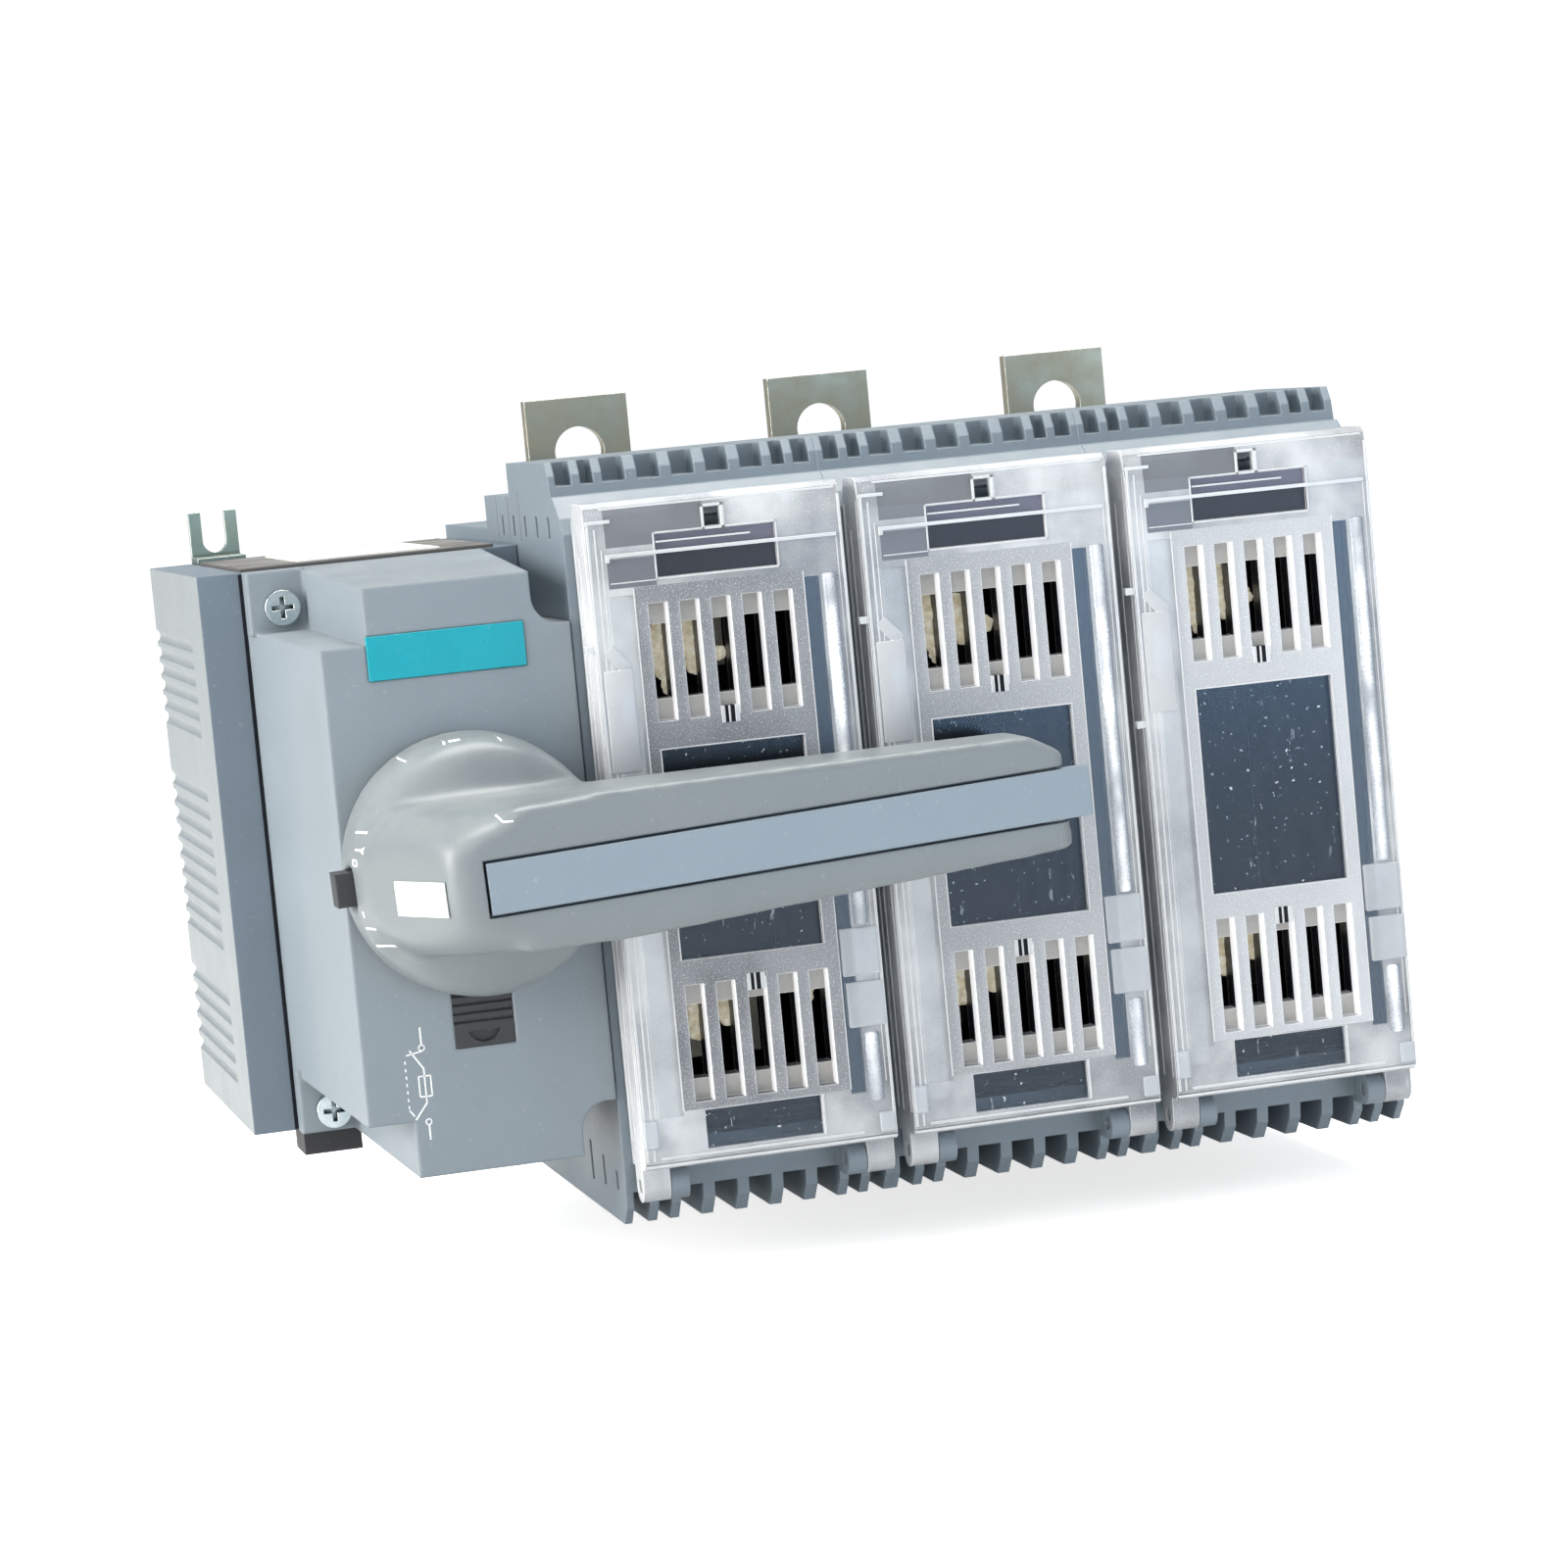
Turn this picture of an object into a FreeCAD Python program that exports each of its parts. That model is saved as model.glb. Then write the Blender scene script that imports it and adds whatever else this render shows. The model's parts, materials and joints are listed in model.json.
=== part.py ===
import FreeCAD, Part
import os
import re
import math
import Sketcher

os.makedirs("parts", exist_ok=True)
doc = FreeCAD.newDocument("fuse_switch")
sheet = doc.addObject("Spreadsheet::Sheet", "Sizes")
NODES = []

# overall arrangement, mm
pole_pitch = 60
pole_wide = 60
wall_side = 3.5
mid_level = -1.6
fit_gap = 0.1
run_gap = 0.04

# pole base profile, depth counted back from the panel plane
front_face = 146
tier_low_top = 73.5
tier_low_back = 57
tier_low_bevel = 8
body_top = 66
body_bottom = -66
tier_high_top = 81
tier_high_front = 133
tier_high_back = 88
tier_high_lean = 3
rib_bottom = -85
rib_floor = -77.5
rib_front = 141
rib_back = 30
gap_pitch = 7.7
gap_wide = 5.1
gap_narrow = 2.9
gap_narrow_at = 21.4
gap_outer = 3.6
gap_outer_at = 26.6
scoop_floor = 75.8
scoop_back = 5.5
web_front = 66
web_back = 60
chamber_top = 64
chamber_bottom = -67
well_back = 6
well_in = 8
well_out = 50
window_wide = 20
groove_first = 6
groove_wide = 0.9
groove_low = 63.5
vent_pitch = 13.5
vent_first = 12.5
vent_wide = 2.2
vent_low = 64.6
vent_high = 4.6
vent_deep = 1.8
foot_vent_first = 111
foot_vent_low = -79.5
foot_vent_high = 9
window_in = 11
window_out = 24

# cross shafts and switching blades
shaft_depth = 36
shaft_off = 29
shaft_rad = 7
shaft_left = -137
shaft_right = 89
blade_long = 32
blade_wide = 9
blade_thick = 4

# terminals and fuse jaws
tab_wide = 25
tab_thick = 4
tab_face = 21
tab_end = 94
tab_hole = 6
tab_hole_at = 81
tab_inner = 36
clip_gap = 2.1
clip_thick = 2
clip_in = 37
clip_out = 45.5
clip_front = 42
jaw_plate = 4
jaw_in = 9
jaw_out = 57
jaw_tip = 124
jaw_mid = 43
jaw_high = 17
jaw_gap = 2.6
jaw_thick = 2.4
jaw_flare = 3
fuse_clip_in = 13
fuse_clip_out = 21
fuse_clip_back = 30

# fuse covers
cover_wide = 56
cover_front = 160
cover_top = 72
cover_bottom = -71
cover_wall = 2
cover_seat = 0.3
louver_pitch = 6.85
louver_wide = 4.2
louver_long = 25.2
louver_short = 16
louver_up = 37.2
louver_down = -44.8
louver_deep = 6.5
panel_half = 18.5
window_top = 18.5
window_bottom = -26.8
window_left = -15.9
window_right = 15.5
window_step = 0.8
peep_top = 64.4
peep_bottom = 55.1
peep_left = -13.1
peep_right = 13.3
test_left = -2
test_wide = 3.6
test_top = 69
test_high = 4
foot_top = -59.3
foot_bottom = -67.8
foot_left = -14
foot_right = 11.9
hinge_depth = 152
hinge_level = -75.2
hinge_rad = 3.6
pin_rad = 1.5
knuckle_wide = 6
lug_wide = 4

# switch mechanism housing
box_left = -162.5
box_right = -90.2
box_top = 62.7
box_bottom = -62.6
box_front = 92.5
box_wall = 3
lid_left = -152.5
lid_right = -90.4
lid_face = 147
lid_wall = 2.5
face_left = -144.5
face_top = 58.7
face_bottom = -68
notch_wide = 10
notch_high = 12.2
right_notch = 8
cut_high = 11.5
corner_round = 6
screw_x = -145.4
screw_top = 54.5
screw_low = -57.8
screw_seat = 100
screw_head = 3.9
screw_rad = 2

# handle
knob_rad = 28.4
knob_gap = 0.6
knob_x = -pole_pitch - cover_wide / 2 - knob_gap - knob_rad
knob_back = 147.6
skirt_front = 161
dome_front = 172
ridge_front = 200
ridge_half = 15.5
ridge_start = -8
lever_back = 170
lever_reach = 122.5
lever_half = 12.4
lever_tip_front = 187
lever_tilt = 2
bar_left = -5.6
bar_right = 127
bar_half = 5.3
bar_drop = -0.65
bar_gap = 0.35
bar_deep = 8

# drive inside the housing
module_mm = 1.25
teeth_knob = 16
teeth_shaft = 22
spindle_rad = 6
guide_back = 57.4
guide_thick = 4
rod_depth = 14
rod_off = 53.5
rod_rad = 2.5
nut_rad = 4.6
nut_thick = 3.2
latch_level = 67
latch_half = 6
spindle_end = 168
plate_left = -134.7
plate_right = -100.6
plate_low = 38.9
plate_high = 48.4
slide_left = -124
slide_right = -111
slide_low = -41.3
slide_high = 13.4
slide_travel = 5
button_mid = -0.9
button_half = 3.6
button_low = 151
button_high = 158
card_back = 179.4
card_front = 196.4
fork_x = -146.5
fork_half = 5.8
fork_slot = 2.8
fork_high = 12.2

# the sheet holds every size above, each under its own word
V = {word: value for word, value in globals().items() if type(value) in (int, float)}
for line, (word, value) in enumerate(V.items(), 1):
    sheet.set("A%d" % line, word)
    sheet.set("B%d" % line, "%.6g" % value)
    sheet.setAlias("B%d" % line, word)


def E(text):
    # every known size word in an expression points at the sheet
    return re.sub(r"\b([a-z][a-z_]*)\b", lambda m: "Sizes." + m.group(1) if m.group(1) in V else m.group(1),
                  str(text))


def num(text):
    return float(sheet.evalExpression(E(text)))


def bind(obj, prop, text):
    obj.setExpression(prop, E(text))


def box(name, x0, x1, d0, d1, z0, z1):
    # block given by its sides, d0 and d1 being depths in front of the panel
    b = doc.addObject("Part::Box", name)
    bind(b, "Length", "(%s)-(%s)" % (x1, x0))
    bind(b, "Width", "(%s)-(%s)" % (d1, d0))
    bind(b, "Height", "(%s)-(%s)" % (z1, z0))
    bind(b, "Placement.Base.x", x0)
    bind(b, "Placement.Base.y", "-(%s)" % d1)
    bind(b, "Placement.Base.z", z0)
    return b


def rod(name, axis, rad, a, b, lo, hi):
    # cylinder: along X at depth a and height b, or along Y at x a and height b
    c = doc.addObject("Part::Cylinder", name)
    bind(c, "Radius", rad)
    bind(c, "Height", "(%s)-(%s)" % (hi, lo))
    if axis == "X":
        c.Placement.Rotation = FreeCAD.Rotation(FreeCAD.Vector(0, 1, 0), 90)
        bind(c, "Placement.Base.x", lo)
        bind(c, "Placement.Base.y", "-(%s)" % a)
    else:
        c.Placement.Rotation = FreeCAD.Rotation(FreeCAD.Vector(1, 0, 0), -90)
        bind(c, "Placement.Base.x", a)
        bind(c, "Placement.Base.y", "-(%s)" % hi)
    bind(c, "Placement.Base.z", b)
    return c


def fuse(name, shapes):
    if len(shapes) == 1:
        return shapes[0]
    f = doc.addObject("Part::MultiFuse", name)
    f.Shapes = shapes
    return f


def cut(name, base, tools):
    c = doc.addObject("Part::Cut", name)
    c.Base = base
    c.Tool = fuse(name + "_tools", tools)
    return c


def level(side, off):
    # a height above or below the middle of the mechanism
    return "mid_level%s(%s)" % (side, off)


def body(name):
    return doc.addObject("PartDesign::Body", name)


def origin(b, role):
    return [f for f in b.Origin.OriginFeatures if f.Role == role][0]


def sketch(b, role, loops, off):
    # closed loops of corners; a four-number corner is an arc through its first pair
    sk = b.newObject("Sketcher::SketchObject", "outline")
    sk.AttachmentSupport = [(origin(b, role), "")]
    sk.MapMode = "FlatFace"
    bind(sk, "AttachmentOffset.Base.z", off)
    for loop in loops:
        if loop[0] == "circle":
            g = sk.addGeometry(Part.Circle(FreeCAD.Vector(num(loop[1]), num(loop[2]), 0),
                                           FreeCAD.Vector(0, 0, 1), num(loop[3])), False)
            pin(sk, g, 3, loop[1], loop[2])
            k = sk.addConstraint(Sketcher.Constraint("Radius", g, num(loop[3])))
            sk.setExpression("Constraints[%d]" % k, E(loop[3]))
            continue
        ends = [FreeCAD.Vector(num(c[-2]), num(c[-1]), 0) for c in loop]
        first = sk.GeometryCount
        for i, c in enumerate(loop):
            a = ends[i - 1]
            if len(c) == 4:
                arc = Part.Arc(a, FreeCAD.Vector(num(c[0]), num(c[1]), 0), ends[i])
                g = sk.addGeometry(arc, False)
                turned = sk.getPoint(g, 1).distanceToPoint(a) > 1e-6
                pin(sk, g, 1 if turned else 2, c[-2], c[-1])
            else:
                g = sk.addGeometry(Part.LineSegment(a, ends[i]), False)
                pin(sk, g, 2, c[-2], c[-1])
        last = sk.GeometryCount - 1
        for g in range(first, last + 1):
            h = g + 1 if g < last else first
            joint = ends[g - first]
            side = 2 if sk.getPoint(g, 2).distanceToPoint(joint) < 1e-6 else 1
            other = 1 if sk.getPoint(h, 1).distanceToPoint(joint) < 1e-6 else 2
            sk.addConstraint(Sketcher.Constraint("Coincident", g, side, h, other))
    return sk


def pin(sk, g, which, u, v):
    for kind, text in (("DistanceX", u), ("DistanceY", v)):
        k = sk.addConstraint(Sketcher.Constraint(kind, -1, 1, g, which, num(text)))
        sk.setExpression("Constraints[%d]" % k, E(text))


def rect(u0, v0, u1, v1):
    return [(u0, v0), (u1, v0), (u1, v1), (u0, v1)]


def pad(b, role, loops, lo, hi):
    p = b.newObject("PartDesign::Pad", "pad")
    p.Profile = sketch(b, role, loops, lo)
    bind(p, "Length", "(%s)-(%s)" % (hi, lo))
    return p


def pocket(b, role, loops, lo, hi):
    p = b.newObject("PartDesign::Pocket", "pocket")
    p.Profile = sketch(b, role, loops, hi)
    bind(p, "Length", "(%s)-(%s)" % (hi, lo))
    return p


def row(b, what, axis, pitch, count):
    r = b.newObject("PartDesign::LinearPattern", "row")
    r.Originals = what if isinstance(what, list) else [what]
    r.Direction = (origin(b, axis), [""])
    bind(r, "Length", "(%s)*%d" % (pitch, count - 1))
    r.Occurrences = count
    b.Tip = r
    return r


def mirror(b, what, plane):
    m = b.newObject("PartDesign::Mirrored", "mirror")
    m.Originals = what if isinstance(what, list) else [what]
    m.MirrorPlane = (origin(b, plane), [""])
    b.Tip = m
    return m


def node(name, what):
    what.Label = name
    NODES.append((name, what))
    return what


def copies(name, what, xs):
    # the same moulding stands in every pole
    for i, x in enumerate(xs):
        c = doc.addObject("Part::Compound", name + "_%d" % (i + 1))
        c.Links = [what]
        bind(c, "Placement.Base.x", x)
        node("%s_%d" % (name, i + 1), c)


doc.recompute()
POLES = ("-pole_pitch", "0", "pole_pitch")

# pole base with the switching wells, and the fuse frame in front of it
half = "pole_wide/2"
inner = "pole_wide/2-wall_side"
base = body("pole_base_form")
pad(base, "YZ_Plane", [[
    ("-0", "body_top"),
    ("-tier_low_back", "body_top"),
    ("-tier_low_back", "tier_low_top"),
    ("-web_front", "tier_low_top"),
    ("-web_front", "rib_bottom"),
    ("-rib_back", "rib_bottom"),
    ("-rib_back", "body_bottom"),
    ("-0", "body_bottom")]], "-(%s)" % half, half)
front = body("fuse_frame_form")
pad(front, "YZ_Plane", [[
    ("-web_front", "tier_low_top"),
    ("-tier_high_back", "tier_low_top"),
    ("-tier_high_back", "tier_high_top"),
    ("-tier_high_front", "tier_high_top"),
    ("-tier_high_front-tier_high_lean*0.7", "tier_high_top-3"),
    ("-tier_high_front-tier_high_lean", "tier_low_top"),
    ("-front_face+tier_low_bevel", "tier_low_top"),
    ("-front_face+2", "tier_low_top-4.5"),
    ("-front_face", "tier_low_top-8"),
    ("-front_face", "rib_bottom+11"),
    ("-front_face+1.2", "rib_bottom+4"),
    ("-rib_front", "rib_bottom"),
    ("-web_front", "rib_bottom")]], "-(%s)" % half, half)


def comb(target, lo, hi, z0, z1):
    # row of slots between the teeth or ribs, narrower at both ends of the pole
    mid = pocket(target, "XZ_Plane", [rect("-2*gap_pitch-gap_wide/2", z0, "-2*gap_pitch+gap_wide/2", z1)], lo, hi)
    row(target, mid, "X_Axis", "gap_pitch", 5)
    side = pocket(target, "XZ_Plane", [
        rect("gap_narrow_at-gap_narrow/2", z0, "gap_narrow_at+gap_narrow/2", z1),
        rect("gap_outer_at-gap_outer/2", z0, "gap_outer_at+gap_outer/2", z1)], lo, hi)
    mirror(target, side, "YZ_Plane")


comb(front, "tier_high_front-scoop_back", "tier_high_front+tier_high_lean+1", "scoop_floor", "tier_high_top+1")
comb(front, "web_front-1", "front_face+1", "rib_bottom-1", "rib_floor")
comb(base, "rib_back-1", "web_front+1", "rib_bottom-1", "rib_floor")
pocket(front, "XZ_Plane", [rect("-(%s)" % inner, "chamber_bottom", inner, "chamber_top")],
       "web_front-1", "front_face+1")
for s in ("+", "-"):
    def z(w):
        return level(s, w)

    pocket(base, "XZ_Plane", [rect("-(%s)" % inner, z("well_in"), inner, z("well_out"))], "well_back", "web_back")
    pocket(base, "XZ_Plane", [rect("-window_wide/2", z("window_in"), "window_wide/2", z("window_out"))],
           "web_back-1", "web_front+1")
    pocket(base, "XY_Plane", [rect("-tab_wide/2-fit_gap", "-tab_face-tab_thick-fit_gap", "tab_wide/2+fit_gap",
                                   "-tab_face+fit_gap")],
           z("well_out") + "-2" if s == "+" else "body_bottom-1", "body_top+1" if s == "+" else z("well_out") + "+2")
    pocket(base, "YZ_Plane", [("circle", "-shaft_depth", z("shaft_off"), "shaft_rad+run_gap+0.02"),
                              ("circle", "-rod_depth", z("rod_off"), "rod_rad+fit_gap")],
           "-(%s)-1" % half, "(%s)+1" % half)
pocket(front, "XZ_Plane", [rect("-latch_half-0.5", "latch_level-0.6", "latch_half+0.5", "latch_level+4")],
       "front_face-9", "front_face+1")

# grooves and blind vents in the outer faces of the frame's side walls
vents = []
for k in range(3):
    at = "-web_front-groove_first-%d*vent_pitch" % k
    vents.append(rect(at, "groove_low", at + "+groove_wide", "tier_low_top+1"))
for k in range(5):
    at = "-web_front-vent_first-%d*vent_pitch" % k
    vents.append(rect(at, "vent_low", at + "+vent_wide", "vent_low+vent_high"))
for k in range(3):
    at = "-foot_vent_first-%d*vent_pitch" % k
    vents.append(rect(at, "foot_vent_low+%d*0.8" % k, at + "+vent_wide", "foot_vent_low+foot_vent_high-%d*1.6" % k))
blind = pocket(front, "YZ_Plane", vents, "-(%s)-1" % half, "-(%s)+vent_deep" % half)
mirror(front, blind, "YZ_Plane")
lug = pad(front, "YZ_Plane", [[
    ("-front_face+1", "hinge_level-hinge_rad"),
    ("-hinge_depth", "hinge_level-hinge_rad"),
    ("-hinge_depth-hinge_rad", "hinge_level", "-hinge_depth", "hinge_level+hinge_rad"),
    ("-front_face+1", "hinge_level+hinge_rad")]], "cover_wide/2-knuckle_wide-lug_wide-0.2",
    "cover_wide/2-knuckle_wide-0.2")
bore = pocket(front, "YZ_Plane", [("circle", "-hinge_depth", "hinge_level", "pin_rad+0.02")],
              "cover_wide/2-knuckle_wide-lug_wide-1", "cover_wide/2-knuckle_wide+1")
mirror(front, [lug, bore], "YZ_Plane")
copies("pole_base", base, POLES)
copies("fuse_frame", front, POLES)

# terminals: flat tab outside, contact clip inside
for kind, s in (("upper", "+"), ("lower", "-")):
    def z(w):
        return level(s, w)

    t = body(kind + "_terminal_form")
    end = "tab_end" if s == "+" else "-tab_end-3"
    hole = "tab_hole_at" if s == "+" else "-tab_hole_at-3"
    pad(t, "XZ_Plane", [rect("-tab_wide/2", z("tab_inner"), "tab_wide/2", end),
                        ("circle", "0", hole, "tab_hole")], "tab_face", "tab_face+tab_thick")
    cheek = pad(t, "XZ_Plane", [rect("clip_gap", z("clip_in"), "clip_gap+clip_thick", z("clip_out"))],
                "tab_face+tab_thick-1", "clip_front")
    mirror(t, cheek, "YZ_Plane")
    copies(kind + "_terminal", t, POLES)

    # fuse jaw: seat plate, two sprung fingers, contact clip behind
    j = body(kind + "_jaw_form")
    pad(j, "XZ_Plane", [rect("-tab_wide/2", z("jaw_in"), "tab_wide/2", z("jaw_out"))], "web_front",
        "web_front+jaw_plate")
    finger = pad(j, "XY_Plane", [[
        ("jaw_gap", "-web_front-jaw_plate+1"),
        ("jaw_gap+jaw_thick", "-web_front-jaw_plate+1"),
        ("jaw_gap+jaw_thick", "-jaw_tip+9"),
        ("jaw_gap+jaw_thick+0.8", "-jaw_tip+4"),
        ("jaw_gap+jaw_thick+jaw_flare", "-jaw_tip"),
        ("jaw_gap+jaw_flare", "-jaw_tip"),
        ("jaw_gap+0.6", "-jaw_tip+4.6"),
        ("jaw_gap", "-jaw_tip+10")]],
        "mid_level%sjaw_mid-jaw_high/2" % s, "mid_level%sjaw_mid+jaw_high/2" % s)
    clip = pad(j, "XZ_Plane", [rect("clip_gap", z("fuse_clip_in"), "clip_gap+clip_thick", z("fuse_clip_out"))],
               "fuse_clip_back", "web_front+1")
    mirror(j, [finger, clip], "YZ_Plane")
    copies(kind + "_fuse_jaw", j, POLES)

    # switching blade held in the cross shaft
    m = body(kind + "_blade_form")
    pad(m, "YZ_Plane", [rect("-shaft_depth-blade_wide/2", z("shaft_off") + "-blade_long/2",
                             "-shaft_depth+blade_wide/2", z("shaft_off") + "+blade_long/2")],
        "-blade_thick/2", "blade_thick/2")
    copies(kind + "_blade", m, POLES)

    # cross shaft through the three poles
    c = body(kind + "_cross_shaft")
    pad(c, "YZ_Plane", [("circle", "-shaft_depth", z("shaft_off"), "shaft_rad")], "shaft_left", "shaft_right")
    slot = pocket(c, "XY_Plane", [rect("-pole_pitch-blade_thick/2-0.02", "-shaft_depth-blade_wide/2-0.02",
                                       "-pole_pitch+blade_thick/2+0.02", "-shaft_depth+blade_wide/2+0.02")],
                  z("shaft_off") + "-shaft_rad-1", z("shaft_off") + "+shaft_rad+1")
    row(c, slot, "X_Axis", "pole_pitch", 3)
    node(kind + "_cross_shaft", c)

# transparent fuse cover
cover = body("fuse_cover_form")
ch = "cover_wide/2"
pad(cover, "YZ_Plane", [[
    ("-front_face-cover_seat", "cover_bottom"),
    ("-cover_front+1.5", "cover_bottom"),
    ("-cover_front", "cover_bottom+1.5"),
    ("-cover_front", "cover_top-7"),
    ("-cover_front+1", "cover_top-1"),
    ("-cover_front+2.5", "cover_top"),
    ("-front_face-cover_seat-3", "cover_top"),
    ("-front_face-cover_seat", "cover_top-4")]], "-(%s)" % ch, ch)
ci = "cover_wide/2-cover_wall"
pocket(cover, "XZ_Plane", [rect("-(%s)" % ci, "cover_bottom+cover_wall", ci, "cover_top-cover_wall")],
       "front_face-5", "cover_front-cover_wall")
for mid in ("louver_up", "louver_down"):
    z0 = mid + "-louver_long/2"
    z1 = mid + "+louver_long/2"
    pad(cover, "XZ_Plane", [rect("-panel_half", z0 + "-1.5", "panel_half", z1 + "+1.5")],
        "cover_front-cover_wall-louver_deep", "cover_front-cover_wall")
    a = pocket(cover, "XZ_Plane", [rect("-2*louver_pitch-louver_wide/2", z0, "-2*louver_pitch+louver_wide/2", z1)],
               "cover_front-cover_wall-1.5", "cover_front+1")
    b = pocket(cover, "XZ_Plane", [rect("-2*louver_pitch-louver_wide/2", mid + "-louver_short/2",
                                        "-2*louver_pitch+louver_wide/2", mid + "+louver_short/2")],
               "cover_front-cover_wall-louver_deep-1", "cover_front")
    row(cover, [a, b], "X_Axis", "louver_pitch", 5)
pocket(cover, "XZ_Plane", [
    rect("window_left", "window_bottom", "window_right", "window_top"),
    rect("peep_left", "peep_bottom", "peep_right", "peep_top"),
    rect("foot_left", "foot_bottom", "foot_right", "foot_top")], "cover_front-window_step", "cover_front+1")
pocket(cover, "XZ_Plane", [rect("test_left", "test_top-test_high", "test_left+test_wide", "test_top")],
       "front_face", "cover_front+1")
pad(cover, "YZ_Plane", [[
    ("-front_face-5", "cover_top-cover_wall+0.2"),
    ("-front_face-2.3", "cover_top-cover_wall+0.2"),
    ("-front_face-0.3", "latch_level+2.2"),
    ("-front_face+5.5", "latch_level+2.2"),
    ("-front_face+5.9", "latch_level+1.6"),
    ("-front_face+5.2", "latch_level"),
    ("-front_face+3", "latch_level"),
    ("-front_face+2.4", "latch_level+0.6"),
    ("-front_face-5", "latch_level+0.6")]], "-latch_half", "latch_half")
knuckle = pad(cover, "YZ_Plane", [[
    ("-hinge_depth+hinge_rad", "cover_bottom+1"),
    ("-hinge_depth+hinge_rad", "hinge_level"),
    ("-hinge_depth", "hinge_level-hinge_rad", "-hinge_depth-hinge_rad", "hinge_level"),
    ("-hinge_depth-hinge_rad", "cover_bottom+1")]], "cover_wide/2-knuckle_wide", ch)
eye = pocket(cover, "YZ_Plane", [("circle", "-hinge_depth", "hinge_level", "pin_rad+run_gap")],
             "cover_wide/2-knuckle_wide-1", "(%s)+1" % ch)
mirror(cover, [knuckle, eye], "YZ_Plane")
copies("fuse_cover", cover, POLES)

# steel hinge pins of the three covers
pins = []
for x in POLES:
    for s in (1, -1):
        a = "cover_wide/2-knuckle_wide-lug_wide"
        b = "cover_wide/2-0.3"
        lo, hi = (a, b) if s > 0 else ("-(%s)" % b, "-(%s)" % a)
        pins.append(rod("hinge_pin", "X", "pin_rad", "hinge_depth", "hinge_level", "%s+%s" % (x, lo), "%s+%s" % (x, hi)))
node("cover_hinge_pins", fuse("cover_hinge_pins", pins))

# mechanism housing, open to the front
shell = box("housing_block", "box_left", "box_right", "0", "box_front", "box_bottom", "box_top")
room = box("housing_room", "box_left+box_wall", "box_right-box_wall", "box_wall", "box_front-box_wall",
           "box_bottom+box_wall", "box_top-box_wall")
mouth = box("housing_mouth", "lid_left+lid_wall+2", "box_right-box_wall", "box_front-box_wall-1", "box_front+1",
            "box_bottom+box_wall+8", "box_top-box_wall-8")
holes = []
for s in ("+", "-"):
    holes.append(rod("shaft_hole", "X", "shaft_rad+run_gap+0.02", "shaft_depth", "mid_level%sshaft_off" % s,
                     "box_left+box_wall+1", "box_right+1"))
    holes.append(rod("tie_hole", "X", "rod_rad+fit_gap", "rod_depth", "mid_level%srod_off" % s,
                     "box_right-box_wall-1", "box_right+1"))
for z in ("screw_top", "screw_low"):
    holes.append(rod("screw_hole", "Y", "screw_rad+0.02", "screw_x", z, "box_front-9", "box_front+1"))
holes.append(rod("spindle_seat_hole", "Y", "spindle_rad+run_gap", "knob_x", "mid_level", "box_wall+1", "15"))
for k in range(9):
    holes.append(box("side_groove", "box_left-1", "box_left+0.8", "4", "56",
                     "box_bottom+12+%d*11.6" % k, "box_bottom+12.8+%d*11.6" % k))
bits = [cut("housing_hollow", shell, [room, mouth]),
        rod("spindle_seat", "Y", "spindle_rad+4", "knob_x", "mid_level", "box_wall-1", "14")]
for z in ("screw_top", "screw_low"):
    bits.append(rod("screw_boss", "Y", "screw_rad+2.6", "screw_x", z, "box_front-10", "box_front"))
for s in ("+", "-"):
    lo, hi = ("mid_level+43", "mid_level+48.5") if s == "+" else ("mid_level-48.5", "mid_level-43")
    bits.append(box("frame_post", "knob_x-21.5", "knob_x-17.6", "box_wall-1", "guide_back", lo, hi))
    bits.append(box("frame_post", "knob_x+19", "box_right-box_wall+1", "box_wall-1", "guide_back", lo, hi))
    lo, hi = ("mid_level+18", "mid_level+44") if s == "+" else ("mid_level-44", "mid_level-18")
    bits.append(box("bearing_cheek", "knob_x-21.5", "knob_x-17.6", "box_wall-1", "46", lo, hi))
node("mechanism_housing", cut("mechanism_housing", fuse("housing_sum", bits), holes))

# front cover of the mechanism, drafted from its joint to its face
lid = body("mechanism_cover")
back = sketch(lid, "XZ_Plane", [[
    ("lid_left+11.5", "box_top"), ("lid_right", "box_top"),
    ("lid_right", "box_bottom"), ("lid_left+11.5", "box_bottom"),
    ("lid_left+11.5", "box_bottom+13"), ("lid_left", "box_bottom+13"),
    ("lid_left", "box_top-13"), ("lid_left+11.5", "box_top-13")]], "box_front")
face = sketch(lid, "XZ_Plane", [[
    ("face_left+notch_wide", "face_top"), ("lid_right", "face_top"),
    ("lid_right", "face_bottom"), ("face_left+notch_wide", "face_bottom"),
    ("face_left+notch_wide", "face_bottom+notch_high"), ("face_left", "face_bottom+notch_high"),
    ("face_left", "face_top-notch_high"), ("face_left+notch_wide", "face_top-notch_high")]], "lid_face")
loft = lid.newObject("PartDesign::AdditiveLoft", "shell_loft")
loft.Profile = back
loft.Sections = [face]
loft.Ruled = True
pad(lid, "XZ_Plane", [rect("lid_left", "box_top-14", "lid_left+13", "box_top"),
                      rect("lid_left", "box_bottom", "lid_left+13", "box_bottom+14")], "box_front", "screw_seat")
corner = "lid_right-right_notch"
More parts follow.
